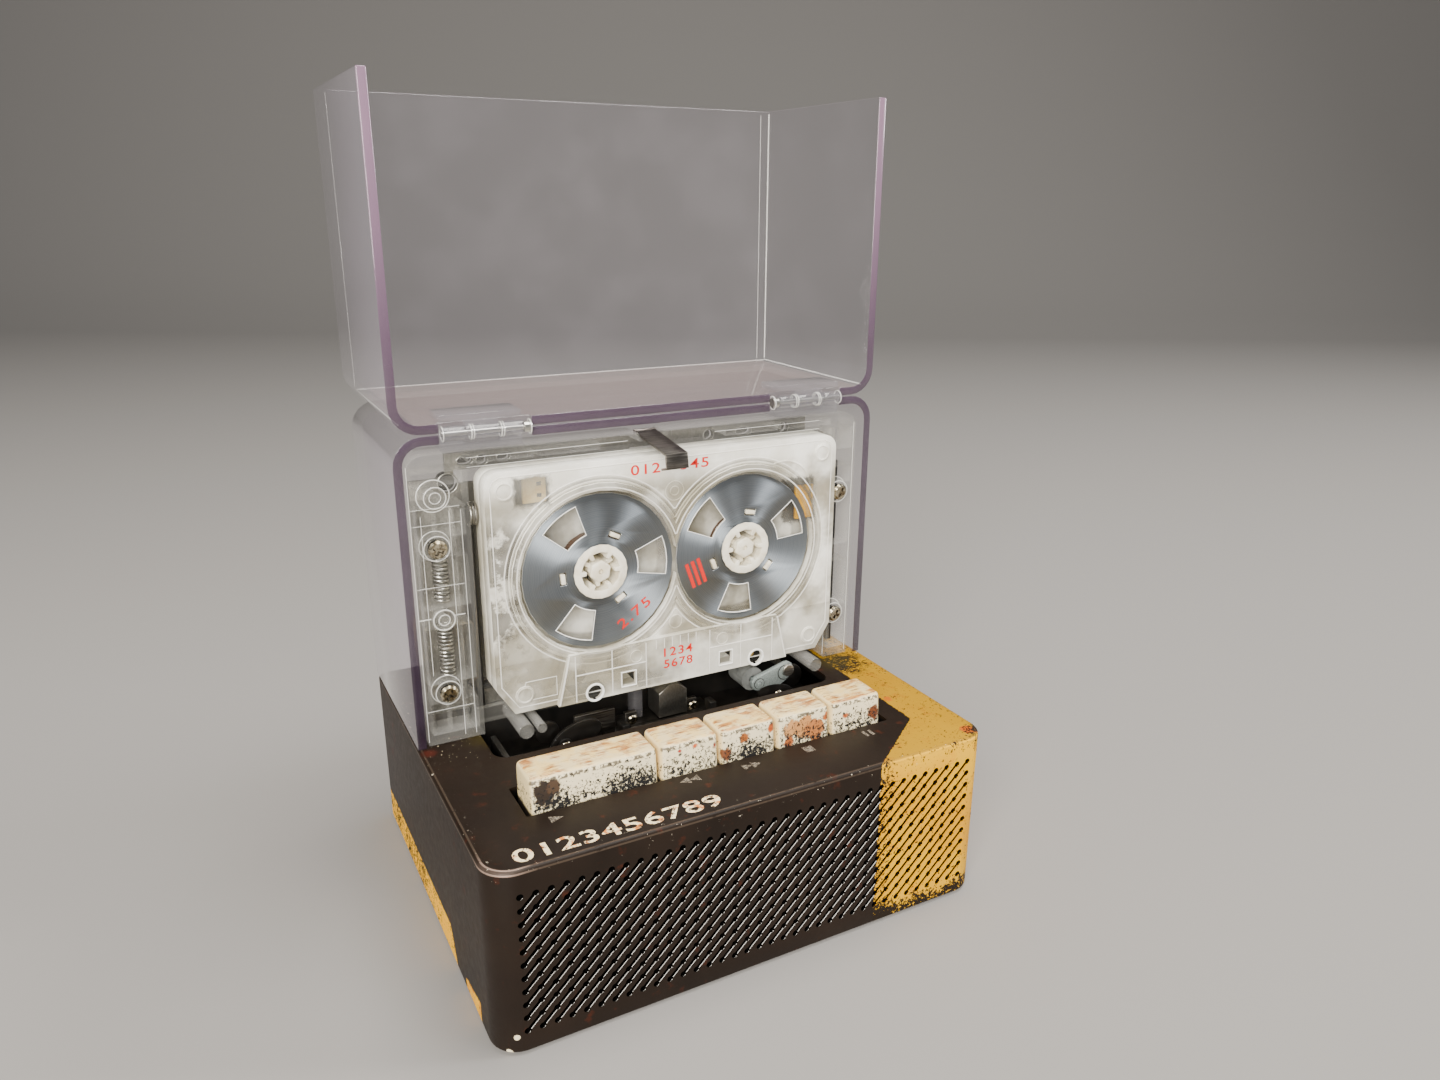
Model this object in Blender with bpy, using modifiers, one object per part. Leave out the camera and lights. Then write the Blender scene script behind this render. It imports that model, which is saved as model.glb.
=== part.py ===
"""Desk cassette deck: a low base with a speaker grille and five keys, a clear tower that
holds the tape transport, and a clear lid that turns over the keys and the cassette.

Metres, +Z up. The origin is the middle of the base's underside, and -Y is the front.
The lid is modelled open, turned right over onto the tower's top.
"""

import math

import bmesh
import bpy

# Shared clearances and facet counts
GAP = 0.0003
OVERRUN = 0.002
CORNER_STEPS = 6
ROUND_SIDES = 20
WIDE_SIDES = 32
SMALL_SIDES = 12
WELD = 0.000001

# The cassette that everything is built round
CASSETTE_WIDTH = 0.1004
CASSETTE_CENTRE_X = 0.00345

# Base housing
BASE_MARGIN = 0.0165
BASE_DEPTH = 0.1104
BASE_TOP = 0.0468
BASE_FOOT_GAP = 0.0008
BASE_WALL = 0.0024
BASE_FRONT_RADIUS = 0.007
BASE_BACK_RADIUS = 0.0025
BASE_EDGE_CHAMFER = 0.0008
SCREW_BOSS_RADIUS = 0.0032
SCREW_BOSS_INSET = 0.0085
COVER_SCREW_RADIUS = 0.0015

# Bottom cover
COVER_THICKNESS = 0.0022
STANDOFF_HEIGHT = 0.003
STANDOFF_RADIUS = 0.0022

# Speaker grille, a square lattice of holes joined by diagonal grooves
GRILLE_COLUMNS = 36
GRILLE_ROWS = 11
GRILLE_MARGIN = 0.00685
GRILLE_BOTTOM = 0.0062
GRILLE_GROOVE_WIDTH = 0.00125
GRILLE_GROOVE_DEPTH = 0.0007

# Keys
KEY_SPACE = 0.00105
KEY_ROW_INSET = (0.0002, 0.0021)
PLAY_KEY_SHARE = 2.066
KEY_FRONT = -0.036
KEY_DEPTH = 0.012
KEY_TOP = 0.0546
KEY_LEAN = 0.0009
KEY_SKIRT = 0.0036
KEY_ROUND = 0.0011
KEY_ARM_INSET = 0.0032
KEY_ARM_THICKNESS = 0.0034
KEY_BARREL_RADIUS = 0.0026
KEY_SHAFT_RADIUS = 0.00125
KEY_SHAFT_Y = -0.008
KEY_SHAFT_Z = 0.0415
KEY_SLOT_SIDE = 0.0016
KEY_SLOT_FRONT = 0.0009
KEY_SLOT_BACK = 0.0006
KEY_NAMES = ("key_play", "key_rewind", "key_forward", "key_stop", "key_pause")

# Well in the base's top, which the transport stands in
WELL_INSET = (-0.00385, 0.00555)
WELL_FRONT = -0.0095
WELL_BACK = 0.036
WELL_RADIUS = 0.004

# Clear tower
TOWER_FRONT = 0.00325
TOWER_TOP = 0.1262
CLEAR_WALL = 0.0023
CLEAR_RADIUS = 0.007

# Clear lid
LID_DEPTH = 0.05815
LID_HEIGHT = 0.0773

# Lid hinges
HINGE_LENGTH = 0.0195
HINGE_INSET = 0.0212
KNUCKLE_RADIUS = 0.0018
KNUCKLE_BORE = 0.0009
HINGE_PIN_RADIUS = 0.0006
HINGE_PIN_HEAD_RADIUS = 0.0013
HINGE_PIN_HEAD_LENGTH = 0.0018
HINGE_LID_SHARE = 0.42
LEAF_THICKNESS = 0.0015
LEAF_REACH = 0.0095
HINGE_WEB_THICKNESS = 0.0014

# Cassette
CASSETTE_HEIGHT = 0.0638
CASSETTE_THICKNESS = 0.0087
CASSETTE_BOTTOM = 0.0526
CASSETTE_FRONT = 0.0009
CASSETTE_RADIUS = 0.0038
CASSETTE_CHAMFER_X = 0.0046
CASSETTE_CHAMFER_Z = 0.0074
CASSETTE_WALL = 0.0012
CASSETTE_SCREW_RING = 0.0025
CASSETTE_SCREW_RISE = 0.0004
CASSETTE_SCREW_INSET = 0.0048
HEAD_ZONE_WIDTH = 0.069
HEAD_ZONE_TOP_WIDTH = 0.062
HEAD_ZONE_HEIGHT = 0.0138
HEAD_ZONE_RISE = 0.00165
HUB_SPACING = 0.0425
HUB_HEIGHT = 0.0348
WINDOW_RADIUS = 0.0216
WINDOW_RIM = 0.002
WINDOW_RIM_RISE = 0.0007
BACK_HUB_HOLE = 0.0057
CAPSTAN_HOLE_OFFSET = 0.0244
CAPSTAN_HOLE_HEIGHT = 0.0020
CAPSTAN_HOLE_RADIUS = 0.0021
LOCATING_HOLE_OFFSET = 0.0147
LOCATING_HOLE_SIZE = 0.0038
LOCATING_PIN_RADIUS = 0.0012
LOCATING_PIN_TIP = 0.0020
HEAD_MOUTH_WIDTH = 0.0232
ROLLER_MOUTH_WIDTH = 0.0106

# Reels
REEL_RADIUS = 0.0207
REEL_THICKNESS = 0.0007
REEL_FRONT = 0.0013
REEL_BORE = 0.0065
REEL_WINDOW_INNER = 0.0107
REEL_WINDOW_OUTER = 0.0189
REEL_WINDOW_ANGLE = math.radians(33)
REEL_SLOT_RADIUS = 0.0100
REEL_SLOT_LENGTH = 0.0034
REEL_SLOT_WIDTH = 0.0018
REEL_SLOT_TURN = math.radians(-61)
REEL_TURNS = {"left": math.radians(125), "right": math.radians(141)}
HUB_RADIUS = 0.0062
HUB_COLLAR_RADIUS = 0.0073
HUB_COLLAR = 0.0006
HUB_BORE = 0.0053
HUB_TOOTH_TIP = 0.0039
HUB_TOOTH_ANGLE = math.radians(14)
HUB_TEETH = 6
TAPE_RADII = {"left": 0.0094, "right": 0.0082}
TAPE_WIDTH = 0.0038

# Drive spindles
SPINDLE_FIN_REACH = 0.0047
SPINDLE_FIN_WIDTH = 0.0012
SPINDLE_CORE_RADIUS = 0.0028
SPINDLE_SHAFT_RADIUS = 0.0022
SPINDLE_TIP = 0.0016
SPINDLE_FINS = 3
DRIVE_WHEEL_RADIUS = 0.011
DRIVE_WHEEL_WIDTH = 0.0021

# Clear transport frame
FRAME_CLEARANCES = (0.0008, 0.0018)
FRAME_TOP = 0.1214
FRAME_FRONT = 0.0044
FRAME_BACK = 0.0134
FRAME_WEB = 0.0018
FRAME_RADIUS = 0.004
FRAME_RIM = 0.0012
CASSETTE_CLEARANCES = (0.00265, 0.00075)
TOP_BAR_HEIGHT = 0.0042
TOP_POCKETS = 6
LEFT_POST_INSET = 0.0057
LEFT_BLOCK_HEIGHTS = (0.1114, 0.0986, 0.0807, 0.0608)
BLOCK_HEIGHT = 0.0052
PEG_RADIUS = 0.0026
PEG_RISE = 0.0022
PEG_BORE = 0.0013
RIGHT_POST_INSET = 0.0054
RIGHT_BLOCK_HEIGHTS = (0.1085, 0.0986, 0.0800, 0.0610)
FRAME_HOLE_RADIUS = 0.0056
SIGHT_WINDOW = (0.012, 0.026)
LOWER_BAR_BACK = 0.0120
LOWER_BAR_DEPTH = 0.0021
LOWER_BAR_TOP = 0.0515
POST_TIP = -0.0046
POST_HEIGHT = 0.0499
POST_RADII = (0.0020, 0.0013, 0.0020)
LEFT_REST_INSETS = (0.00565, 0.00975)
RIGHT_REST_INSET = 0.00785

# Frame screws
SCREW_HEAD_RADIUS = 0.0023
SCREW_HEAD_HEIGHT = 0.0014
SCREW_SHANK_RADIUS = 0.0010
SCREW_LENGTH = 0.0078

# Column springs
SPRING_RADIUS = 0.0017
SPRING_WIRE = 0.0003
SPRING_TURNS = 7
SPRING_POINTS = 8
SPRING_INSET = 0.0069
SPRING_Y = 0.0084
SPRING_END_SPACE = 0.0007

# Steel chassis
CHASSIS_THICKNESS = 0.0012
CHASSIS_SIDE_INSET = 0.0022
CHASSIS_HOLE_RADIUS = 0.0045
CHASSIS_SLOT = (0.014, 0.0034)
CHASSIS_NOTCH = (0.009, 0.006)

# Deck block, the moulded body below the cassette
BLOCK_CLEARANCES = (0.0016, 0.0006)
BLOCK_FRONT = 0.0123
BLOCK_BACK = 0.026
BLOCK_TOP = 0.0505
BLOCK_BOTTOM = 0.022
LEDGE_FRONT = -0.0045
LEDGE_TOP = 0.0393
STEP_FRONT = -0.0115
STEP_TOP = 0.0382
EAR_THICKNESS = 0.0014
EAR_RISE = 0.0020
LEG_WIDTH = 0.004
LEG_DEPTH = 0.010

# Head bridge and play head
BRIDGE_REACH = (-0.02995, 0.01155)
BRIDGE_FRONT = 0.0006
BRIDGE_SHELF = 0.0013
BRIDGE_PLATE_WIDTH = 0.0115
BRIDGE_PLATE_TOP = 0.0480
BRIDGE_TRAVEL = 0.004
HEAD_OFFSET = -0.00055
HEAD_WIDTH = 0.0086
HEAD_FRONT = 0.0017
HEAD_DEPTH = 0.0076
HEAD_TOP = 0.0506
HEAD_CROWN = 0.0022
HEAD_SCREW_OFFSETS = (-0.01275, 0.00575)
HEAD_SCREW_RADIUS = 0.0014
HEAD_LUG_HEIGHT = 0.0034
GUIDE_HEIGHT = 0.0096
GUIDE_WIDTH = 0.0026
GUIDE_OFFSET = -0.00975

# Pinch roller on its arm
PINCH_PIVOT_OFFSET = (0.00925, -0.0049)
PINCH_ROLLER_OFFSET = (-0.00005, -0.0075)
PINCH_ROLLER_RADIUS = 0.0035
PINCH_ROLLER_FRONT = 0.0009
PINCH_AXLE_RADIUS = 0.0007
PINCH_ARM_FRONT = -0.0026
PINCH_ARM_THICKNESS = 0.0012
PINCH_ARM_END_RADIUS = 0.0022
PINCH_PIVOT_BORE = 0.0013
PINCH_SCREW_RADIUS = 0.0010
PINCH_SCREW_HEAD = 0.0018
PINCH_ROLLER_BACK = 0.0088

# Capstan, flywheel and motor drive
CAPSTAN_RADIUS = 0.0010
CAPSTAN_TIP = 0.0022
BUSH_RADIUS = 0.0026
BUSH_BORE = 0.0013
BUSH_FRONT = 0.0118
PINION_RADIUS = 0.004
DRIVE_SPACE = 0.0004
FLYWHEEL_RADIUS = 0.0150
FLYWHEEL_GROOVE_RADIUS = 0.0140
FLYWHEEL_FRONT = 0.0275
FLYWHEEL_WIDTH = 0.0034
BELT_WIDTH = 0.0012
BELT_THICKNESS = 0.0009
MOTOR_X = -0.040
MOTOR_Z = 0.068
MOTOR_RADIUS = 0.011
MOTOR_LENGTH = 0.0126
PULLEY_RADIUS = 0.0030
PULLEY_FLANGE_RADIUS = 0.0042
BRACKET_THICKNESS = 0.0012
BRACKET_POST_RADIUS = 0.0020
BRACKET_POST_OFFSET = 0.01915
BRACKET_POST_HEIGHTS = (0.0532, 0.0700)
BRACKET_LEFT_OFFSET = -0.00435

# Tape clip
CLIP_WIDTH = 0.006
CLIP_X = -0.0008
CLIP_THICKNESS = 0.0006
CLIP_PIVOT_Y = 0.0100
CLIP_PIVOT_Z = 0.1208
CLIP_FRONT = -0.0090
CLIP_FRONT_Z = 0.1185
CLIP_LIP_Z = 0.1152
CLIP_TONGUE = (-0.0066, 0.1143)
CLIP_SLOT_SIDE = 0.0009
CLIP_SLOT_FLOOR = 0.1194

# Small blocks behind the cassette
CONNECTOR_SIZE = (0.0062, 0.0012, 0.0068)
CONNECTOR_INSET = 0.01545
CONNECTOR_HEIGHT = 0.1085
CAM_SIZE = (0.0060, 0.0012, 0.0100)
CAM_INSET = 0.00395
CAM_HEIGHT = 0.0950

# Speaker
SPEAKER_RADIUS = 0.0190
SPEAKER_HEIGHT = 0.0237
SPEAKER_FLANGE = 0.0012
SPEAKER_NECK_RADIUS = 0.0105
SPEAKER_BASKET_DEPTH = 0.0075
SPEAKER_WALL = 0.0009
SPEAKER_CONE_WALL = 0.0005
MAGNET_RADIUS = 0.0115
MAGNET_LENGTH = 0.0050

# Battery, board and socket
BATTERY_SIZE = (0.056, 0.036, 0.0080)
BATTERY_PLACE = (-0.020, -0.014)
BOARD_SIZE = (0.0300, 0.0640, 0.0016)
BOARD_PLACE = (0.0270, 0.0190)
SOCKET_SIZE = (0.0090, 0.0080, 0.0034)
SOCKET_X = 0.0250

# Places that follow from the sizes above
BASE_WIDTH = CASSETTE_WIDTH + 2 * BASE_MARGIN
BASE_FRONT = -BASE_DEPTH / 2
BASE_BACK = BASE_DEPTH / 2
BASE_SIDE = BASE_WIDTH / 2
BASE_CEILING = BASE_TOP - BASE_WALL
AXIS_Y = TOWER_FRONT - GAP / 2
AXIS_Z = TOWER_TOP + GAP / 2
LID_BOTTOM = TOWER_TOP + GAP
LID_BACK = TOWER_FRONT + LID_DEPTH
CASSETTE_LEFT = CASSETTE_CENTRE_X - CASSETTE_WIDTH / 2
CASSETTE_RIGHT = CASSETTE_CENTRE_X + CASSETTE_WIDTH / 2
CASSETTE_TOP = CASSETTE_BOTTOM + CASSETTE_HEIGHT
CASSETTE_MIDDLE = CASSETTE_FRONT + CASSETTE_THICKNESS / 2
HUB_Z = CASSETTE_BOTTOM + HUB_HEIGHT
HUB_X = {
    "left": CASSETTE_CENTRE_X - HUB_SPACING / 2,
    "right": CASSETTE_CENTRE_X + HUB_SPACING / 2,
}
CAPSTAN_X = CASSETTE_CENTRE_X + CAPSTAN_HOLE_OFFSET
CAPSTAN_Z = CASSETTE_BOTTOM + CAPSTAN_HOLE_HEIGHT
FRAME_BOTTOM = BASE_TOP + GAP
WEB_FRONT = FRAME_BACK - FRAME_WEB
CHASSIS_FRONT = FRAME_BACK + GAP
CHASSIS_BACK = CHASSIS_FRONT + CHASSIS_THICKNESS
COVER_TOP = COVER_THICKNESS
FRAME_LEFT = CLEAR_WALL + FRAME_CLEARANCES[0] - BASE_SIDE
FRAME_RIGHT = BASE_SIDE - CLEAR_WALL - FRAME_CLEARANCES[1]
LEFT_COLUMN_RIGHT = CASSETTE_LEFT - CASSETTE_CLEARANCES[0]
RIGHT_COLUMN_LEFT = CASSETTE_RIGHT + CASSETTE_CLEARANCES[1]
LEFT_POST_X = FRAME_LEFT + LEFT_POST_INSET
RIGHT_POST_X = FRAME_RIGHT - RIGHT_POST_INSET
RESTS_X = (CASSETTE_LEFT + LEFT_REST_INSETS[0], CASSETTE_LEFT + LEFT_REST_INSETS[1],
           CASSETTE_RIGHT - RIGHT_REST_INSET)
SPRING_X = FRAME_LEFT + SPRING_INSET
HINGE_CENTRE = BASE_SIDE - HINGE_INSET
WELL_LEFT = CASSETTE_LEFT + WELL_INSET[0]
WELL_RIGHT = CASSETTE_RIGHT - WELL_INSET[1]
BLOCK_LEFT = WELL_LEFT + BLOCK_CLEARANCES[0]
BLOCK_RIGHT = WELL_RIGHT - BLOCK_CLEARANCES[1]
KEY_LEFT = WELL_LEFT + KEY_ROW_INSET[0]
KEY_RIGHT = WELL_RIGHT - KEY_ROW_INSET[1]
KEY_WIDTH = (KEY_RIGHT - KEY_LEFT - 4 * KEY_SPACE) / (4 + PLAY_KEY_SHARE)
PLAY_KEY_WIDTH = KEY_WIDTH * PLAY_KEY_SHARE
GRILLE_PITCH = (BASE_WIDTH - 2 * GRILLE_MARGIN) / (GRILLE_COLUMNS - 1)
BRIDGE_LEFT = CASSETTE_CENTRE_X + BRIDGE_REACH[0]
BRIDGE_RIGHT = CASSETTE_CENTRE_X + BRIDGE_REACH[1]
HEAD_X = CASSETTE_CENTRE_X + HEAD_OFFSET
HEAD_SCREWS_X = [CASSETTE_CENTRE_X + offset for offset in HEAD_SCREW_OFFSETS]
GUIDE_X = CASSETTE_CENTRE_X + GUIDE_OFFSET
PINCH_PIVOT = (CAPSTAN_X + PINCH_PIVOT_OFFSET[0], CAPSTAN_Z + PINCH_PIVOT_OFFSET[1])
PINCH_ROLLER = (CAPSTAN_X + PINCH_ROLLER_OFFSET[0], CAPSTAN_Z + PINCH_ROLLER_OFFSET[1])
BRACKET_POST_X = CAPSTAN_X + BRACKET_POST_OFFSET
BRACKET_LEFT = CAPSTAN_X + BRACKET_LEFT_OFFSET
CONNECTOR_PLACE = (CASSETTE_LEFT + CONNECTOR_INSET, CONNECTOR_HEIGHT)
CAM_PLACE = (CASSETTE_RIGHT - CAM_INSET, CAM_HEIGHT)
TOP_BAR_BOTTOM = FRAME_TOP - TOP_BAR_HEIGHT
HEAD_FLOOR = LEDGE_TOP + GAP
BRIDGE_TOP = HEAD_FLOOR + BRIDGE_SHELF

parts = None
cutters = None


def start_scene():
    """Remove what the scene holds and make the two collections."""
    global parts, cutters
    for item in list(bpy.data.objects):
        bpy.data.objects.remove(item, do_unlink=True)
    parts = bpy.data.collections.new("cassette_deck")
    cutters = bpy.data.collections.new("cutters")
    bpy.context.scene.collection.children.link(parts)
    bpy.context.scene.collection.children.link(cutters)


def make_material(name, colour, roughness, metallic=0.0, alpha=1.0):
    """Return a Principled material with the piece's colour from the photograph."""
    material = bpy.data.materials.new(name)
    material.use_nodes = True
    shader = material.node_tree.nodes["Principled BSDF"]
    shader.inputs["Base Color"].default_value = (*colour, 1.0)
    shader.inputs["Roughness"].default_value = roughness
    shader.inputs["Metallic"].default_value = metallic
    shader.inputs["Alpha"].default_value = alpha
    material.diffuse_color = (*colour, alpha)
    return material


def make_materials():
    """Return every material of the object by name."""
    return {
        "housing": make_material("housing_paint", (0.045, 0.037, 0.029), 0.42),
        "cover": make_material("cover_plastic", (0.020, 0.020, 0.020), 0.6),
        "clear": make_material("clear_acrylic", (0.85, 0.82, 0.88), 0.06, 0.0, 0.3),
        "frame": make_material("clear_moulding", (0.80, 0.79, 0.76), 0.12, 0.0, 0.4),
        "shell": make_material("frosted_shell", (0.62, 0.60, 0.55), 0.35, 0.0, 0.7),
        "key": make_material("key_paint", (0.82, 0.74, 0.58), 0.5),
        "reel": make_material("turned_aluminium", (0.42, 0.46, 0.52), 0.28, 1.0),
        "ivory": make_material("ivory_plastic", (0.82, 0.78, 0.68), 0.4),
        "tape": make_material("brown_tape", (0.06, 0.03, 0.02), 0.3),
        "steel": make_material("plated_steel", (0.55, 0.54, 0.51), 0.32, 1.0),
        "dark_steel": make_material("dark_spring_steel", (0.12, 0.11, 0.10), 0.35, 1.0),
        "black": make_material("black_moulding", (0.012, 0.012, 0.012), 0.35),
        "grey": make_material("grey_lever", (0.28, 0.31, 0.32), 0.4, 0.6),
        "rubber": make_material("black_rubber", (0.02, 0.02, 0.02), 0.8),
        "roller": make_material("roller_rubber", (0.45, 0.46, 0.46), 0.7),
        "brass": make_material("brass", (0.72, 0.52, 0.22), 0.3, 1.0),
        "paper": make_material("cone_paper", (0.05, 0.05, 0.05), 0.9),
        "board": make_material("board_green", (0.02, 0.12, 0.05), 0.5),
        "battery": make_material("battery_film", (0.10, 0.14, 0.30), 0.4),
        "beige": make_material("beige_connector", (0.80, 0.66, 0.42), 0.5),
        "yellow": make_material("yellow_cam", (0.85, 0.58, 0.05), 0.5),
    }


def add_object(name, mesh, material, group=None):
    """Link a mesh as a named object, in the parts or in the cutters."""
    item = bpy.data.objects.new(name, mesh)
    if group is None:
        parts.objects.link(item)
        mesh.materials.clear()
        mesh.materials.append(material)
    else:
        group.objects.link(item)
        item.hide_render = True
        item.display_type = "WIRE"
    return item


def tool(name, mesh):
    """Link a mesh as a cutter or as a form that is joined to a piece."""
    return add_object(name, mesh, None, cutters)


def box_mesh(name, x, y, z):
    """Return a box between two values on each axis."""
    work = bmesh.new()
    bmesh.ops.create_cube(work, size=1.0)
    middle = [(pair[0] + pair[1]) / 2 for pair in (x, y, z)]
    size = [pair[1] - pair[0] for pair in (x, y, z)]
    bmesh.ops.scale(work, vec=size, verts=work.verts)
    bmesh.ops.translate(work, vec=middle, verts=work.verts)
    mesh = bpy.data.meshes.new(name)
    work.to_mesh(mesh)
    work.free()
    return mesh


def turn_mesh(mesh, axis):
    """Turn a mesh that is built along Z so that it lies along the named axis."""
    if axis == "Y":
        for vertex in mesh.vertices:
            x, y, z = vertex.co
            vertex.co = (x, -z, y)
    if axis == "X":
        for vertex in mesh.vertices:
            x, y, z = vertex.co
            vertex.co = (z, x, y)


def rod_mesh(name, radius, axis, centre, span, sides=ROUND_SIDES):
    """Return a cylinder along an axis. centre is its place across the axis."""
    work = bmesh.new()
    length = span[1] - span[0]
    bmesh.ops.create_cone(work, cap_ends=True, segments=sides, radius1=radius,
                          radius2=radius, depth=length)
    mesh = bpy.data.meshes.new(name)
    work.to_mesh(mesh)
    work.free()
    turn_mesh(mesh, axis)
    middle = (span[0] + span[1]) / 2
    offset = {
        "X": (middle, centre[0], centre[1]),
        "Y": (centre[0], middle, centre[1]),
        "Z": (centre[0], centre[1], middle),
    }[axis]
    shift_mesh(mesh, offset)
    return mesh


def shift_mesh(mesh, offset):
    """Move every point of a mesh."""
    for vertex in mesh.vertices:
        vertex.co = [value + step for value, step in zip(vertex.co, offset)]


def outline_mesh(name, loops, axis, span):
    """Return a flat outline, with the loops inside it as holes, filled between two planes."""
    curve = bpy.data.curves.new(name, "CURVE")
    curve.dimensions = "2D"
    curve.fill_mode = "BOTH"
    curve.extrude = (span[1] - span[0]) / 2
    for loop in loops:
        spline = curve.splines.new("POLY")
        spline.points.add(len(loop) - 1)
        spline.use_cyclic_u = True
        for point, (u, v) in zip(spline.points, loop):
            point.co = (u, v, 0.0, 1.0)
    holder = bpy.data.objects.new(name, curve)
    bpy.context.scene.collection.objects.link(holder)
    graph = bpy.context.evaluated_depsgraph_get()
    mesh = bpy.data.meshes.new_from_object(holder.evaluated_get(graph))
    bpy.data.objects.remove(holder, do_unlink=True)
    bpy.data.curves.remove(curve)
    weld_mesh(mesh)
    turn_mesh(mesh, axis)
    middle = (span[0] + span[1]) / 2
    offset = {"X": (middle, 0, 0), "Y": (0, middle, 0), "Z": (0, 0, middle)}[axis]
    shift_mesh(mesh, offset)
    return mesh


def weld_mesh(mesh):
    """Merge points that lie on each other."""
    work = bmesh.new()
    work.from_mesh(mesh)
    bmesh.ops.remove_doubles(work, verts=work.verts, dist=WELD)
    bmesh.ops.recalc_face_normals(work, faces=work.faces)
    work.to_mesh(mesh)
    work.free()


def turned_mesh(name, profile, centre, sides=ROUND_SIDES):
    """Return a closed (radius, y) profile turned about an axis along Y."""
    mesh = bpy.data.meshes.new(name)
    points = [(radius, 0.0, along) for radius, along in profile]
    edges = [(index, (index + 1) % len(points)) for index in range(len(points))]
    if profile[0][0] == 0 and profile[-1][0] == 0:
        edges.pop()
    mesh.from_pydata(points, edges, [])
    holder = bpy.data.objects.new(name, mesh)
    bpy.context.scene.collection.objects.link(holder)
    screw = holder.modifiers.new("turn", "SCREW")
    screw.axis = "Z"
    screw.angle = math.tau
    screw.steps = sides
    screw.render_steps = sides
    screw.use_merge_vertices = True
    screw.merge_threshold = WELD
    graph = bpy.context.evaluated_depsgraph_get()
    turned = bpy.data.meshes.new_from_object(holder.evaluated_get(graph))
    bpy.data.objects.remove(holder, do_unlink=True)
    bpy.data.meshes.remove(mesh)
    for vertex in turned.vertices:
        x, y, z = vertex.co
        vertex.co = (x + centre[0], z, centre[1] - y)
    weld_mesh(turned)
    return turned


def merged_mesh(name, meshes):
    """Return one mesh of several that don't touch."""
    work = bmesh.new()
    for mesh in meshes:
        work.from_mesh(mesh)
        bpy.data.meshes.remove(mesh)
    mesh = bpy.data.meshes.new(name)
    work.to_mesh(mesh)
    work.free()
    return mesh


def cut(target, mesh):
    """Take a form away from a piece."""
    add_boolean(target, mesh, "DIFFERENCE")


def join(target, mesh):
    """Add a form to a piece, as one body."""
    add_boolean(target, mesh, "UNION")


def add_boolean(target, mesh, operation):
    """Put a form among the cutters and apply it to a piece."""
    form = tool(f"{target.name}_{mesh.name}", mesh)
    change = target.modifiers.new(mesh.name, "BOOLEAN")
    change.operation = operation
    change.solver = "EXACT"
    change.object = form


def round_edges(mesh, width, segments, test):
    """Round the edges of a mesh whose two ends pass a test."""
    work = bmesh.new()
    work.from_mesh(mesh)
    edges = [edge for edge in work.edges if all(test(vertex.co) for vertex in edge.verts)]
    bmesh.ops.bevel(work, geom=edges, offset=width, segments=segments, profile=0.5,
                    affect="EDGES", clamp_overlap=True)
    work.to_mesh(mesh)
    work.free()


def smooth(item):
    """Shade a round piece smooth, with its hard edges kept."""
    item.data.shade_smooth()
    item.data.set_sharp_from_angle(angle=math.radians(35))


def arc(centre, radius, start, end, steps):
    """Return points along an arc, ends included."""
    points = []
    for index in range(steps + 1):
        angle = start + (end - start) * index / steps
        points.append((centre[0] + radius * math.cos(angle), centre[1] + radius * math.sin(angle)))
    return points


def circle(centre, radius, sides=ROUND_SIDES):
    """Return the points of a circle, once round."""
    return arc(centre, radius, 0.0, math.tau * (sides - 1) / sides, sides - 1)


def rounded_box(x, y, radii):
    """Return a rectangle whose corners are round: lower left, lower right, upper right, upper left."""
    corners = ((x[0], y[0], 1, 1), (x[1], y[0], -1, 1), (x[1], y[1], -1, -1), (x[0], y[1], 1, -1))
    points = []
    for index, (corner, radius) in enumerate(zip(corners, radii)):
        if radius == 0:
            points.append((corner[0], corner[1]))
            continue
        centre = (corner[0] + corner[2] * radius, corner[1] + corner[3] * radius)
        start = math.pi + index * math.pi / 2
        points += arc(centre, radius, start, start + math.pi / 2, CORNER_STEPS)
    return points


def base_outline(inset):
    """Return the base's outline from above, drawn in from its walls."""
    front = BASE_FRONT_RADIUS - inset
    back = max(BASE_BACK_RADIUS - inset, 0)
    side = BASE_SIDE - inset
    return rounded_box((-side, side), (BASE_FRONT + inset, BASE_BACK - inset),
                       (front, front, back, back))


def boss_places():
    """Return the places of the four bosses that the bottom cover screws to."""
    x = BASE_SIDE - SCREW_BOSS_INSET
    y = BASE_BACK - SCREW_BOSS_INSET
    return [(-x, -y), (x, -y), (-x, y), (x, y)]


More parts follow.
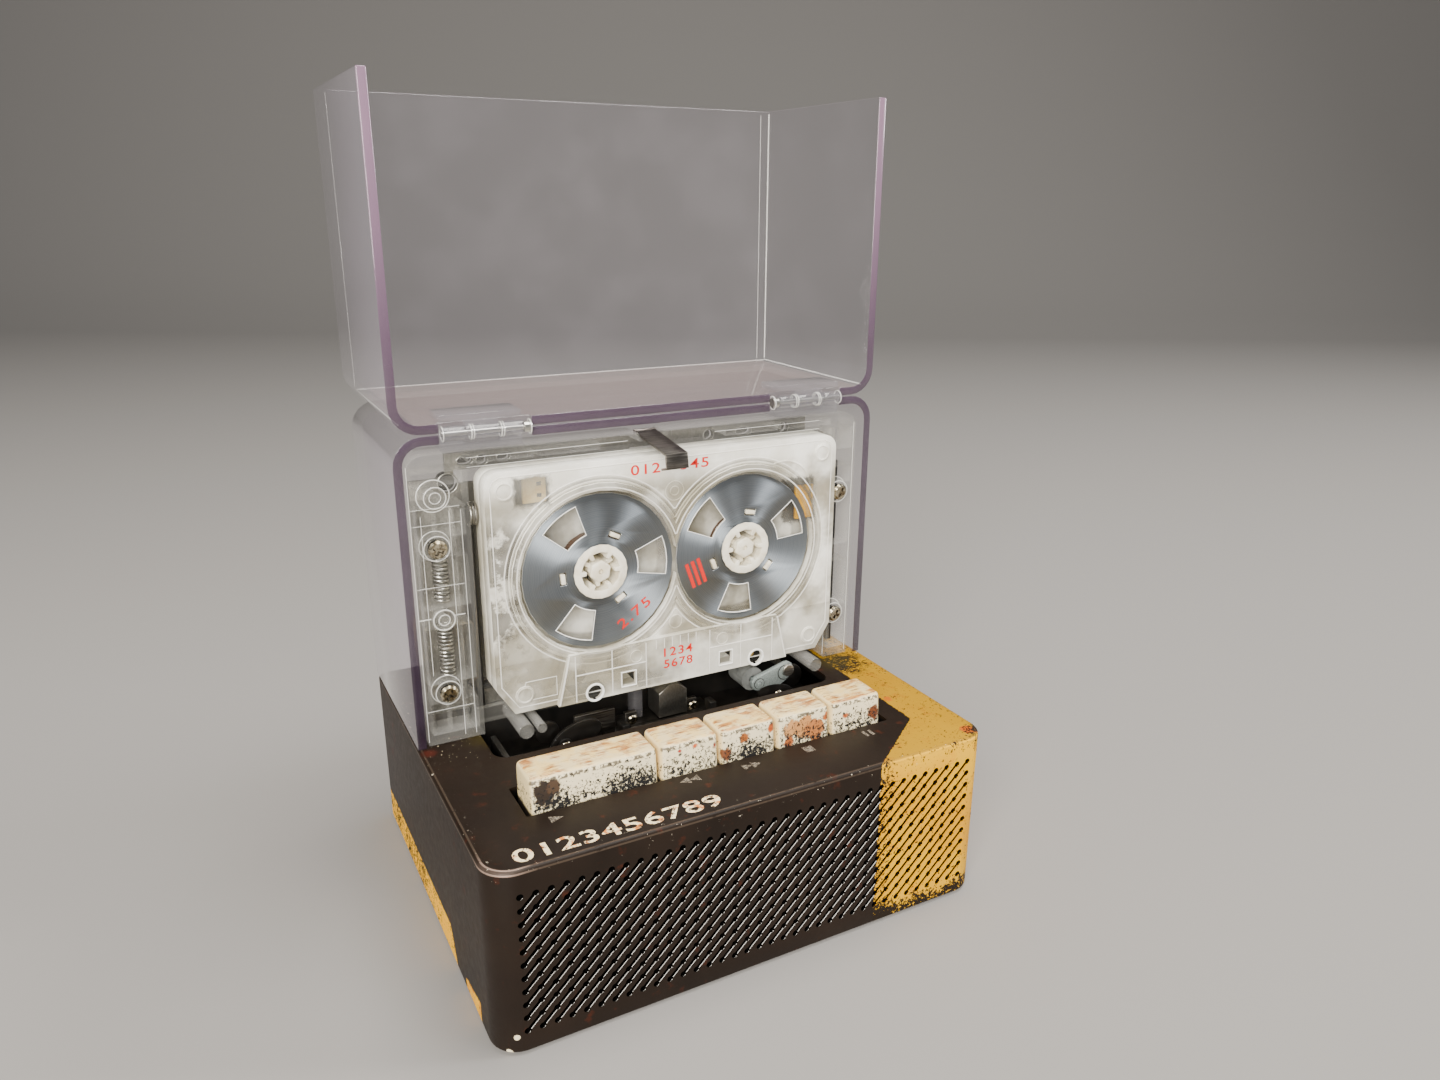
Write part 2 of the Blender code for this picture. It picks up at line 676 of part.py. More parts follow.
def make_base_housing(material):
    """The moulded base: one shell, open below, with the grille, the key slot and the well."""
    outer = outline_mesh("body", [base_outline(0)], "Z", (BASE_FOOT_GAP, BASE_TOP))
    bevel_test = lambda point: point.z > BASE_TOP - WELD
    round_edges(outer, BASE_EDGE_CHAMFER, 1, bevel_test)
    housing = add_object("base_housing", outer, material)
    inside = outline_mesh("inside", [base_outline(BASE_WALL)], "Z",
                          (BASE_FOOT_GAP - OVERRUN, BASE_CEILING))
    cut(housing, inside)
    bosses = []
    for place in boss_places():
        span = (COVER_TOP + GAP, BASE_CEILING + BASE_WALL / 2)
        bosses.append(rod_mesh("boss", SCREW_BOSS_RADIUS, "Z", place, span, SMALL_SIDES))
    join(housing, merged_mesh("bosses", bosses))
    slot_x = (KEY_LEFT - KEY_SLOT_SIDE, KEY_RIGHT + KEY_SLOT_SIDE)
    slot_y = (KEY_FRONT - KEY_SLOT_FRONT, KEY_FRONT + KEY_DEPTH + KEY_SLOT_BACK)
    top_span = (BASE_CEILING - OVERRUN, BASE_TOP + OVERRUN)
    slot = box_mesh("key_slot", slot_x, slot_y, top_span)
    well_outline = rounded_box((WELL_LEFT, WELL_RIGHT), (WELL_FRONT, WELL_BACK),
                               (WELL_RADIUS, WELL_RADIUS, 0, 0))
    well = outline_mesh("well", [well_outline], "Z", top_span)
    cut(housing, merged_mesh("top_openings", [slot, well]))
    board_top = COVER_TOP + STANDOFF_HEIGHT + GAP + BOARD_SIZE[2]
    socket_z = (board_top, board_top + SOCKET_SIZE[2] + 2 * GAP)
    socket_x = (SOCKET_X - SOCKET_SIZE[0] / 2 - GAP, SOCKET_X + SOCKET_SIZE[0] / 2 + GAP)
    cut(housing, box_mesh("socket_hole", socket_x,
                          (BASE_BACK - BASE_WALL - OVERRUN, BASE_BACK + OVERRUN), socket_z))
    cut(housing, grille_grooves())


def lattice_point(column, row):
    """Return a hole's place on the front face."""
    x = (column - (GRILLE_COLUMNS - 1) / 2) * GRILLE_PITCH
    return x, GRILLE_BOTTOM + row * GRILLE_PITCH


def grille_grooves():
    """Return the diagonal grooves that join the holes, from the lower left up to the right."""
    grooves = []
    reach = GRILLE_GROOVE_WIDTH / 2
    for diagonal in range(2 - GRILLE_ROWS, GRILLE_COLUMNS - 1):
        first = max(0, -diagonal)
        last = min(GRILLE_ROWS - 1, GRILLE_COLUMNS - 1 - diagonal)
        start = lattice_point(diagonal + first, first)
        end = lattice_point(diagonal + last, last)
        length = math.dist(start, end) + 2 * reach
        bar = box_mesh("groove", (-length / 2, length / 2),
                       (BASE_FRONT - OVERRUN, BASE_FRONT + GRILLE_GROOVE_DEPTH), (-reach, reach))
        turn = math.cos(math.pi / 4)
        for vertex in bar.vertices:
            x, y, z = vertex.co
            vertex.co = ((x - z) * turn, y, (x + z) * turn)
        shift_mesh(bar, ((start[0] + end[0]) / 2, 0, (start[1] + end[1]) / 2))
        grooves.append(bar)
    return merged_mesh("grooves", grooves)


def make_bottom_cover(material):
    """The flat cover that the deck stands on, with its screw holes and board standoffs."""
    plate = outline_mesh("plate", [base_outline(BASE_WALL + GAP)]
                         + [circle(place, COVER_SCREW_RADIUS, SMALL_SIDES) for place in boss_places()],
                         "Z", (0, COVER_THICKNESS))
    cover = add_object("bottom_cover", plate, material)
    standoffs = []
    for side_x in (-1, 1):
        for side_y in (-1, 1):
            x = BOARD_PLACE[0] + side_x * (BOARD_SIZE[0] / 2 - STANDOFF_RADIUS)
            y = BOARD_PLACE[1] + side_y * (BOARD_SIZE[1] / 2 - STANDOFF_RADIUS)
            standoffs.append(rod_mesh("standoff", STANDOFF_RADIUS, "Z", (x, y),
                                      (COVER_THICKNESS / 2, COVER_TOP + STANDOFF_HEIGHT), SMALL_SIDES))
    join(cover, merged_mesh("standoffs", standoffs))


def make_power(materials):
    """The battery, the main board and the power socket, which stand on the bottom cover."""
    width, depth, height = BATTERY_SIZE
    floor = COVER_TOP + GAP
    pack = box_mesh("battery", (BATTERY_PLACE[0] - width / 2, BATTERY_PLACE[0] + width / 2),
                    (BATTERY_PLACE[1] - depth / 2, BATTERY_PLACE[1] + depth / 2),
                    (floor, floor + height))
    round_edges(pack, height / 4, 2, lambda point: True)
    add_object("battery_pack", pack, materials["battery"])
    width, depth, height = BOARD_SIZE
    floor = COVER_TOP + STANDOFF_HEIGHT + GAP
    board = box_mesh("board", (BOARD_PLACE[0] - width / 2, BOARD_PLACE[0] + width / 2),
                     (BOARD_PLACE[1] - depth / 2, BOARD_PLACE[1] + depth / 2),
                     (floor, floor + height))
    add_object("main_board", board, materials["board"])
    board_top = floor + height
    width, depth, height = SOCKET_SIZE
    back = BASE_BACK - GAP
    shell = outline_mesh("socket", [rounded_box((SOCKET_X - width / 2, SOCKET_X + width / 2),
                                                (board_top + GAP, board_top + GAP + height),
                                                [height / 3] * 4)], "Y", (back - depth, back))
    socket = add_object("power_socket", shell, materials["steel"])
    wall = height / 6
    mouth = rounded_box((SOCKET_X - width / 2 + wall, SOCKET_X + width / 2 - wall),
                        (board_top + GAP + wall, board_top + GAP + height - wall), [height / 4] * 4)
    cut(socket, outline_mesh("mouth", [mouth], "Y", (back - depth + wall, back + OVERRUN)))


def make_speaker(materials):
    """The speaker behind the grille: a steel basket, a paper cone and a magnet."""
    front = BASE_FRONT + BASE_WALL + GAP
    bend = front + SPEAKER_FLANGE
    back = front + SPEAKER_BASKET_DEPTH
    mouth = SPEAKER_RADIUS - SPEAKER_FLANGE
    centre = (0, SPEAKER_HEIGHT)
    basket = [(SPEAKER_RADIUS, front), (SPEAKER_RADIUS, bend), (mouth, bend),
              (SPEAKER_NECK_RADIUS, back), (SPEAKER_NECK_RADIUS - SPEAKER_WALL, back),
              (mouth - SPEAKER_WALL, bend - SPEAKER_WALL), (mouth - SPEAKER_WALL, front)]
    add_object("speaker_basket", turned_mesh("basket", basket, centre), materials["steel"])
    inner = mouth - SPEAKER_WALL - GAP
    neck = SPEAKER_NECK_RADIUS - SPEAKER_WALL - GAP
    cone = [(0, back - SPEAKER_CONE_WALL), (neck - SPEAKER_WALL, back - SPEAKER_CONE_WALL),
            (inner - SPEAKER_WALL, front + SPEAKER_WALL), (inner, front + SPEAKER_WALL),
            (neck, back), (0, back)]
    cone = [(radius, along - GAP) for radius, along in cone]
    add_object("speaker_cone", turned_mesh("cone", cone, centre), materials["paper"])
    magnet = rod_mesh("magnet", MAGNET_RADIUS, "Y", centre,
                      (back + GAP, back + GAP + MAGNET_LENGTH))
    add_object("speaker_magnet", magnet, materials["dark_steel"])


def clear_outline(inset, z):
    """Return the front outline of the clear tower, open-cornered below and round above."""
    side = BASE_SIDE - inset
    radius = CLEAR_RADIUS - inset
    return rounded_box((-side, side), z, (0, 0, radius, radius))


def make_tower_shell(material):
    """The clear tower: a top, two sides and a back, open to the front and below."""
    body = outline_mesh("body", [clear_outline(0, (BASE_TOP + GAP, TOWER_TOP))], "Y",
                        (TOWER_FRONT, BASE_BACK))
    tower = add_object("tower_shell", body, material)
    room = clear_outline(CLEAR_WALL, (BASE_TOP - OVERRUN, TOWER_TOP - CLEAR_WALL))
    cut(tower, outline_mesh("room", [room], "Y", (TOWER_FRONT - OVERRUN, BASE_BACK - CLEAR_WALL)))
    cut(tower, hinge_notches("notches", (TOWER_TOP - CLEAR_WALL - OVERRUN, TOWER_TOP + OVERRUN)))


def hinge_notches(name, z):
    """Return the two notches that the hinges' knuckles turn in."""
    notches = []
    near = HINGE_CENTRE - HINGE_LENGTH / 2 - HINGE_PIN_HEAD_LENGTH - 2 * GAP
    far = HINGE_CENTRE + HINGE_LENGTH / 2 + GAP
    for side in (-1, 1):
        x = sorted((side * near, side * far))
        notches.append(box_mesh("notch", x, (TOWER_FRONT - OVERRUN, AXIS_Y + KNUCKLE_RADIUS + GAP), z))
    return merged_mesh(name, notches)


def make_lid_shell(material):
    """The clear lid, turned over onto the tower: a big panel, two sides and the wall that was its top."""
    top = LID_BOTTOM + LID_HEIGHT
    side = BASE_SIDE
    outline = rounded_box((-side, side), (LID_BOTTOM, top), (CLEAR_RADIUS, CLEAR_RADIUS, 0, 0))
    lid = add_object("lid_shell", outline_mesh("body", [outline], "Y", (TOWER_FRONT, LID_BACK)),
                     material)
    inner = CLEAR_RADIUS - CLEAR_WALL
    room = rounded_box((-side + CLEAR_WALL, side - CLEAR_WALL),
                       (LID_BOTTOM + CLEAR_WALL, top + OVERRUN), (inner, inner, 0, 0))
    cut(lid, outline_mesh("room", [room], "Y", (TOWER_FRONT - OVERRUN, LID_BACK - CLEAR_WALL)))
    cut(lid, hinge_notches("notches", (LID_BOTTOM - OVERRUN, LID_BOTTOM + CLEAR_WALL + OVERRUN)))


def make_hinge(side, sign, materials):
    """One clear hinge: knuckles on the tower, a knuckle on the lid, and the pin through them."""
    centre = sign * HINGE_CENTRE
    half = HINGE_LENGTH / 2
    lid_half = HINGE_LENGTH * HINGE_LID_SHARE / 2
    leaf_y = (AXIS_Y + GAP + KNUCKLE_BORE, AXIS_Y + LEAF_REACH)
    web_y = (AXIS_Y + GAP, AXIS_Y + GAP + HINGE_WEB_THICKNESS)
    leaf_offset = CLEAR_WALL + GAP + GAP / 2
    knuckles = [(centre - half, centre - lid_half - GAP), (centre + lid_half + GAP, centre + half)]
    bore_span = (centre - half - OVERRUN, centre + half + OVERRUN)

    lower = (AXIS_Z - leaf_offset - LEAF_THICKNESS, AXIS_Z - leaf_offset)
    base = add_object(f"hinge_{side}_tower", box_mesh("leaf", (centre - half, centre + half),
                                                     (web_y[0], leaf_y[1]), lower), materials["clear"])
    webs = [box_mesh("web", span, web_y, (lower[0] + LEAF_THICKNESS / 2, AXIS_Z)) for span in knuckles]
    join(base, merged_mesh("webs", webs))
    barrels = [rod_mesh("barrel", KNUCKLE_RADIUS, "X", (AXIS_Y, AXIS_Z), span, SMALL_SIDES)
               for span in knuckles]
    join(base, merged_mesh("barrels", barrels))
    cut(base, rod_mesh("bore", KNUCKLE_BORE, "X", (AXIS_Y, AXIS_Z), bore_span, SMALL_SIDES))

    upper = (AXIS_Z + leaf_offset, AXIS_Z + leaf_offset + LEAF_THICKNESS)
    middle = (centre - lid_half, centre + lid_half)
    top = add_object(f"hinge_{side}_lid", box_mesh("leaf", (centre - half, centre + half),
                                                  (web_y[0], leaf_y[1]), upper), materials["clear"])
    join(top, box_mesh("web", middle, web_y, (AXIS_Z, upper[1] - LEAF_THICKNESS / 2)))
    join(top, rod_mesh("barrel", KNUCKLE_RADIUS, "X", (AXIS_Y, AXIS_Z), middle, SMALL_SIDES))
    cut(top, rod_mesh("bore", KNUCKLE_BORE, "X", (AXIS_Y, AXIS_Z), bore_span, SMALL_SIDES))

    pin = add_object(f"hinge_{side}_pin", rod_mesh("pin", HINGE_PIN_RADIUS, "X", (AXIS_Y, AXIS_Z),
                                                  (centre - half, centre + half), SMALL_SIDES),
                     materials["steel"])
    inner_end = centre - sign * (half + GAP)
    head = sorted((inner_end, inner_end - sign * HINGE_PIN_HEAD_LENGTH))
    neck = sorted((centre, inner_end - sign * HINGE_PIN_HEAD_LENGTH / 2))
    join(pin, rod_mesh("neck", HINGE_PIN_RADIUS, "X", (AXIS_Y, AXIS_Z), neck, SMALL_SIDES))
    join(pin, rod_mesh("head", HINGE_PIN_HEAD_RADIUS, "X", (AXIS_Y, AXIS_Z), head, SMALL_SIDES))


def cassette_outline(inset):
    """Return the cassette's outline from the front, with its cut lower corners."""
    left = CASSETTE_LEFT + inset
    right = CASSETTE_RIGHT - inset
    bottom = CASSETTE_BOTTOM + inset
    top = CASSETTE_TOP - inset
    radius = CASSETTE_RADIUS - inset
    corner_x = CASSETTE_CHAMFER_X
    corner_z = CASSETTE_CHAMFER_Z
    points = [(left + corner_x, bottom), (right - corner_x, bottom), (right, bottom + corner_z)]
    points += arc((right - radius, top - radius), radius, 0, math.pi / 2, CORNER_STEPS)
    points += arc((left + radius, top - radius), radius, math.pi / 2, math.pi, CORNER_STEPS)
    points.append((left, bottom + corner_z))
    return points


def head_zone_outline(inset, bottom):
    """Return the outline of the thick part of the cassette that the heads reach into."""
    low = HEAD_ZONE_WIDTH / 2 - inset
    high = HEAD_ZONE_TOP_WIDTH / 2 - inset
    top = CASSETTE_BOTTOM + HEAD_ZONE_HEIGHT - inset
    middle = CASSETTE_CENTRE_X
    return [(middle - low, bottom), (middle + low, bottom), (middle + high, top), (middle - high, top)]


def make_cassette_half(name, side, material):
    """One half of the cassette's shell. side is -1 for the front half and 1 for the back half."""
    def depth(near, far):
        return tuple(sorted((CASSETTE_MIDDLE + side * near, CASSETTE_MIDDLE + side * far)))

    face = CASSETTE_THICKNESS / 2
    zone_face = face + HEAD_ZONE_RISE
    floor = CASSETTE_BOTTOM
    half = add_object(name, outline_mesh("body", [cassette_outline(0)], "Y", depth(GAP / 2, face)),
                      material)
    join(half, outline_mesh("head_zone", [head_zone_outline(0, floor)], "Y",
                            depth(face - CASSETTE_WALL / 2, zone_face)))
    if side < 0:
        ring = WINDOW_RADIUS + WINDOW_RIM
        for place in ("left", "right"):
            join(half, outline_mesh(f"rim_{place}", [circle((HUB_X[place], HUB_Z), ring, WIDE_SIDES)],
                                    "Y", depth(face - CASSETTE_WALL / 2, face + WINDOW_RIM_RISE)))
    inset_x = CASSETTE_WIDTH / 2 - CASSETTE_SCREW_INSET
    rings = []
    for place in ((-inset_x, CASSETTE_TOP - CASSETTE_SCREW_INSET),
                  (inset_x, CASSETTE_TOP - CASSETTE_SCREW_INSET),
                  (-inset_x + CASSETTE_SCREW_RING, CASSETTE_BOTTOM + CASSETTE_SCREW_INSET),
                  (inset_x - CASSETTE_SCREW_RING, CASSETTE_BOTTOM + CASSETTE_SCREW_INSET)):
        rings.append(rod_mesh("ring", CASSETTE_SCREW_RING, "Y",
                              (CASSETTE_CENTRE_X + place[0], place[1]),
                              depth(face - CASSETTE_WALL / 2, face + CASSETTE_SCREW_RISE), SMALL_SIDES))
    join(half, merged_mesh("screw_rings", rings))
    cut(half, outline_mesh("hollow", [cassette_outline(CASSETTE_WALL)], "Y",
                           depth(-OVERRUN, face - CASSETTE_WALL)))
    cut(half, outline_mesh("head_hollow", [head_zone_outline(CASSETTE_WALL, floor + CASSETTE_WALL)],
                           "Y", depth(0, zone_face - CASSETTE_WALL)))
    through = depth(-OVERRUN, zone_face + OVERRUN)
    if side < 0:
        for place in ("left", "right"):
            window = circle((HUB_X[place], HUB_Z), WINDOW_RADIUS, WIDE_SIDES)
            cut(half, outline_mesh(f"window_{place}", [window], "Y", through))
    else:
        holes = [rod_mesh("hole", BACK_HUB_HOLE, "Y", (HUB_X[place], HUB_Z), through)
                 for place in ("left", "right")]
        cut(half, merged_mesh("hub_holes", holes))
    holes = []
    square = LOCATING_HOLE_SIZE / 2
    for sign in (-1, 1):
        x = CASSETTE_CENTRE_X + sign * CAPSTAN_HOLE_OFFSET
        holes.append(rod_mesh("hole", CAPSTAN_HOLE_RADIUS, "Y", (x, CAPSTAN_Z), through, SMALL_SIDES))
        x = CASSETTE_CENTRE_X + sign * LOCATING_HOLE_OFFSET
        holes.append(box_mesh("square", (x - square, x + square), through,
                              (CAPSTAN_Z, CAPSTAN_Z + 2 * square)))
    cut(half, merged_mesh("pin_holes", holes))
    mouth_depth = depth(-OVERRUN, zone_face - CASSETTE_WALL)
    for label, offset, width in (("head_mouth", 0, HEAD_MOUTH_WIDTH),
                                 ("left_mouth", -CAPSTAN_HOLE_OFFSET, ROLLER_MOUTH_WIDTH),
                                 ("right_mouth", CAPSTAN_HOLE_OFFSET, ROLLER_MOUTH_WIDTH)):
        x = CASSETTE_CENTRE_X + offset
        cut(half, box_mesh(label, (x - width / 2, x + width / 2), mouth_depth,
                           (floor - OVERRUN, floor + 2 * CASSETTE_WALL)))


def reel_outline(side):
    """Return the loops of a reel's face: rim, bore, three windows and three small slots."""
    centre = (HUB_X[side], HUB_Z)
    loops = [circle(centre, REEL_RADIUS, WIDE_SIDES), circle(centre, REEL_BORE)]
    for index in range(3):
        angle = REEL_TURNS[side] + index * math.tau / 3
        start = angle - REEL_WINDOW_ANGLE / 2
        end = angle + REEL_WINDOW_ANGLE / 2
        window = arc(centre, REEL_WINDOW_OUTER, start, end, 3)
        window += arc(centre, REEL_WINDOW_INNER, end, start, 2)
        loops.append(window)
        slot_angle = angle + REEL_SLOT_TURN
        slot = []
        for along, across in ((-1, -1), (1, -1), (1, 1), (-1, 1)):
            radius = REEL_SLOT_RADIUS + across * REEL_SLOT_WIDTH / 2
            shift = along * REEL_SLOT_LENGTH / 2
            slot.append((centre[0] + radius * math.cos(slot_angle) - shift * math.sin(slot_angle),
                         centre[1] + radius * math.sin(slot_angle) + shift * math.cos(slot_angle)))
        loops.append(slot)
    return loops


def hub_bore_outline(side):
    """Return the toothed hole through a hub."""
    centre = (HUB_X[side], HUB_Z)
    points = []
    step = math.tau / HUB_TEETH
    for index in range(HUB_TEETH):
        tooth = index * step
        points += arc(centre, HUB_TOOTH_TIP, tooth - HUB_TOOTH_ANGLE / 2, tooth + HUB_TOOTH_ANGLE / 2, 1)
        points += arc(centre, HUB_BORE, tooth + HUB_TOOTH_ANGLE / 2,
                      tooth + step - HUB_TOOTH_ANGLE / 2, 2)
    return points


def make_reel(side, materials):
    """One reel: a metal face, a toothed hub and the tape wound on it."""
    centre = (HUB_X[side], HUB_Z)
    face = outline_mesh("face", reel_outline(side), "Y", (REEL_FRONT, REEL_FRONT + REEL_THICKNESS))
    add_object(f"reel_{side}_face", face, materials["reel"])
    collar_back = REEL_FRONT - GAP
    collar_front = collar_back - HUB_COLLAR
    hub_back = CASSETTE_MIDDLE + CASSETTE_THICKNESS / 2 - CASSETTE_WALL - GAP
    hub = add_object(f"reel_{side}_hub", rod_mesh("hub", HUB_RADIUS, "Y", centre,
                                                 (collar_front, hub_back)), materials["ivory"])
    join(hub, rod_mesh("collar", HUB_COLLAR_RADIUS, "Y", centre, (collar_front, collar_back)))
    cut(hub, outline_mesh("bore", [hub_bore_outline(side)], "Y",
                          (collar_front - OVERRUN, hub_back + OVERRUN)))
    middle = (REEL_FRONT + REEL_THICKNESS + hub_back) / 2
    tape = outline_mesh("tape", [circle(centre, TAPE_RADII[side]), circle(centre, HUB_RADIUS + GAP)],
                        "Y", (middle - TAPE_WIDTH / 2, middle + TAPE_WIDTH / 2))
    add_object(f"tape_{side}", tape, materials["tape"])


def make_spindle(side, material):
    """One drive spindle: a finned tip in the hub, a shaft and the drive wheel behind the chassis."""
    centre = (HUB_X[side], HUB_Z)
    fin_back = WEB_FRONT - OVERRUN
    spindle = add_object(f"spindle_{side}", rod_mesh("core", SPINDLE_CORE_RADIUS, "Y", centre,
                                                    (SPINDLE_TIP, fin_back), SMALL_SIDES), material)
    outline = []
    half = SPINDLE_FIN_WIDTH / 2
    for index in range(SPINDLE_FINS):
        angle = math.pi / HUB_TEETH + index * math.tau / SPINDLE_FINS
        across = (-math.sin(angle), math.cos(angle))
        along = (math.cos(angle), math.sin(angle))
        root = SPINDLE_CORE_RADIUS / 2
        for reach, side_step in ((root, -half), (SPINDLE_FIN_REACH, -half),
                                 (SPINDLE_FIN_REACH, half), (root, half)):
            outline.append((centre[0] + reach * along[0] + side_step * across[0],
                            centre[1] + reach * along[1] + side_step * across[1]))
    fin_front = SPINDLE_TIP + SPINDLE_FIN_WIDTH
    join(spindle, outline_mesh("fins", [outline], "Y", (fin_front, fin_back - SPINDLE_FIN_WIDTH)))
    wheel_front = CHASSIS_BACK + GAP
    join(spindle, rod_mesh("shaft", SPINDLE_SHAFT_RADIUS, "Y", centre,
                           (SPINDLE_TIP + SPINDLE_FIN_WIDTH, wheel_front + DRIVE_WHEEL_WIDTH / 2),
                           SMALL_SIDES))
    join(spindle, rod_mesh("wheel", DRIVE_WHEEL_RADIUS, "Y", centre,
                           (wheel_front, wheel_front + DRIVE_WHEEL_WIDTH)))


def idler_place():
    """Return the idler's centre and radius, between the pinion and the right spindle's wheel."""
    start = (CAPSTAN_X, CAPSTAN_Z)
    end = (HUB_X["right"], HUB_Z)
    span = math.dist(start, end)
    room = span - PINION_RADIUS - DRIVE_WHEEL_RADIUS
    share = (PINION_RADIUS + room / 2) / span
    centre = (start[0] + (end[0] - start[0]) * share, start[1] + (end[1] - start[1]) * share)
    return centre, room / 2 - DRIVE_SPACE


def make_transport_frame(material):
    """The clear moulded frame: two columns, a top bar, a thin web and the cassette's posts."""
    x = (FRAME_LEFT, FRAME_RIGHT)
    outline = rounded_box(x, (FRAME_BOTTOM, FRAME_TOP), (0, 0, FRAME_RADIUS, FRAME_RADIUS))
    frame = add_object("transport_frame", outline_mesh("body", [outline], "Y", (FRAME_FRONT, FRAME_BACK)),
                       material)
    bay_x = (LEFT_COLUMN_RIGHT, RIGHT_COLUMN_LEFT)
    cut(frame, box_mesh("bay", bay_x, (FRAME_FRONT - OVERRUN, WEB_FRONT),
                        (FRAME_BOTTOM - OVERRUN, TOP_BAR_BOTTOM)))
    cut(frame, box_mesh("block_room", bay_x, (FRAME_FRONT - OVERRUN, FRAME_BACK + OVERRUN),
                        (FRAME_BOTTOM - OVERRUN, BLOCK_TOP + GAP)))
    pocket_back = FRAME_BACK - FRAME_RIM
    pockets = []
    for left, right, heights in ((FRAME_LEFT, LEFT_COLUMN_RIGHT, LEFT_BLOCK_HEIGHTS),
                                 (RIGHT_COLUMN_LEFT, FRAME_RIGHT, RIGHT_BLOCK_HEIGHTS)):
        ceiling = TOP_BAR_BOTTOM
        for height in heights + (FRAME_BOTTOM,):
            low = height + BLOCK_HEIGHT / 2
            pockets.append(box_mesh("pocket", (left + FRAME_RIM, right - FRAME_RIM),
                                    (FRAME_FRONT - OVERRUN, pocket_back), (low, ceiling)))
            ceiling = height - BLOCK_HEIGHT / 2
    cut(frame, merged_mesh("column_pockets", pockets))
    pockets = []
    room = RIGHT_COLUMN_LEFT - LEFT_COLUMN_RIGHT
    pitch = room / TOP_POCKETS
    for index in range(TOP_POCKETS):
        left = LEFT_COLUMN_RIGHT + index * pitch + FRAME_RIM / 2
        right = left + pitch - FRAME_RIM
        if left < CLIP_X + CLIP_WIDTH and right > CLIP_X - CLIP_WIDTH:
            continue
        pockets.append(box_mesh("pocket", (left, right), (FRAME_FRONT - OVERRUN, pocket_back),
                                (TOP_BAR_BOTTOM + FRAME_RIM, FRAME_TOP - FRAME_RIM)))
    cut(frame, merged_mesh("top_pockets", pockets))
    reach = CLIP_WIDTH / 2 + CLIP_SLOT_SIDE
    cut(frame, box_mesh("clip_slot", (CLIP_X - reach, CLIP_X + reach),
                        (FRAME_FRONT - OVERRUN, FRAME_BACK + OVERRUN),
                        (CLIP_SLOT_FLOOR, FRAME_TOP + OVERRUN)))
    holes = [rod_mesh("hole", FRAME_HOLE_RADIUS, "Y", (HUB_X[side], HUB_Z),
                      (WEB_FRONT - OVERRUN, FRAME_BACK + OVERRUN)) for side in ("left", "right")]
    holes.append(rod_mesh("hole", BUSH_RADIUS + GAP, "Y", (CAPSTAN_X, CAPSTAN_Z),
                          (WEB_FRONT - OVERRUN, FRAME_BACK + OVERRUN), SMALL_SIDES))
    window = (SIGHT_WINDOW[0] / 2, SIGHT_WINDOW[1] / 2)
    holes.append(box_mesh("window", (CASSETTE_CENTRE_X - window[0], CASSETTE_CENTRE_X + window[0]),
                          (WEB_FRONT - OVERRUN, FRAME_BACK + OVERRUN),
                          (HUB_Z - window[1], HUB_Z + window[1])))
    cut(frame, merged_mesh("web_holes", holes))
    join(frame, box_mesh("lower_bar", (bay_x[0] - FRAME_RIM, bay_x[1] + FRAME_RIM),
                         (LOWER_BAR_BACK - LOWER_BAR_DEPTH, LOWER_BAR_BACK),
                         (FRAME_BOTTOM + GAP, LOWER_BAR_TOP)))
    posts = [rod_mesh("post", radius, "Y", (place, POST_HEIGHT),
                      (POST_TIP, LOWER_BAR_BACK - LOWER_BAR_DEPTH / 2), SMALL_SIDES)
             for place, radius in zip(RESTS_X, POST_RADII)]
    for sign in (-1, 1):
        place = (CASSETTE_CENTRE_X + sign * LOCATING_HOLE_OFFSET, CAPSTAN_Z + LOCATING_HOLE_SIZE / 2)
        posts.append(rod_mesh("pin", LOCATING_PIN_RADIUS, "Y", place,
                              (LOCATING_PIN_TIP, WEB_FRONT + FRAME_WEB / 2), SMALL_SIDES))
    join(frame, merged_mesh("posts", posts))
    pegs = [rod_mesh("peg", PEG_RADIUS, "Y", (LEFT_POST_X, LEFT_BLOCK_HEIGHTS[index]),
                     (FRAME_FRONT - PEG_RISE, FRAME_FRONT + PEG_RISE), SMALL_SIDES) for index in (0, 2)]
    join(frame, merged_mesh("pegs", pegs))
    bores = []
    for place, heights, bored in ((LEFT_POST_X, LEFT_BLOCK_HEIGHTS, (0, 1, 2, 3)),
                                  (RIGHT_POST_X, RIGHT_BLOCK_HEIGHTS, (1, 3))):
        for index in bored:
            bores.append(rod_mesh("bore", PEG_BORE, "Y", (place, heights[index]),
                                  (FRAME_FRONT - PEG_RISE - OVERRUN, pocket_back), SMALL_SIDES))
    cut(frame, merged_mesh("bores", bores))


def make_frame_screws(material):
    """The four screws that hold the clear frame, seen from the front."""
    places = {
        "screw_left_upper": (LEFT_POST_X, LEFT_BLOCK_HEIGHTS[1]),
        "screw_left_lower": (LEFT_POST_X, LEFT_BLOCK_HEIGHTS[3]),
        "screw_right_upper": (RIGHT_POST_X, RIGHT_BLOCK_HEIGHTS[1]),
        "screw_right_lower": (RIGHT_POST_X, RIGHT_BLOCK_HEIGHTS[3]),
    }
    back = FRAME_FRONT - GAP
    front = back - SCREW_HEAD_HEIGHT
    crown = SCREW_HEAD_RADIUS * 0.7
    profile = [(0, front), (crown, front), (SCREW_HEAD_RADIUS, front + SCREW_HEAD_HEIGHT / 2),
               (SCREW_HEAD_RADIUS, back), (SCREW_SHANK_RADIUS, back),
               (SCREW_SHANK_RADIUS, front + SCREW_LENGTH), (0, front + SCREW_LENGTH)]
    for name, place in places.items():
        screw = add_object(name, turned_mesh("screw", profile[::-1], place, SMALL_SIDES), material)
        smooth(screw)


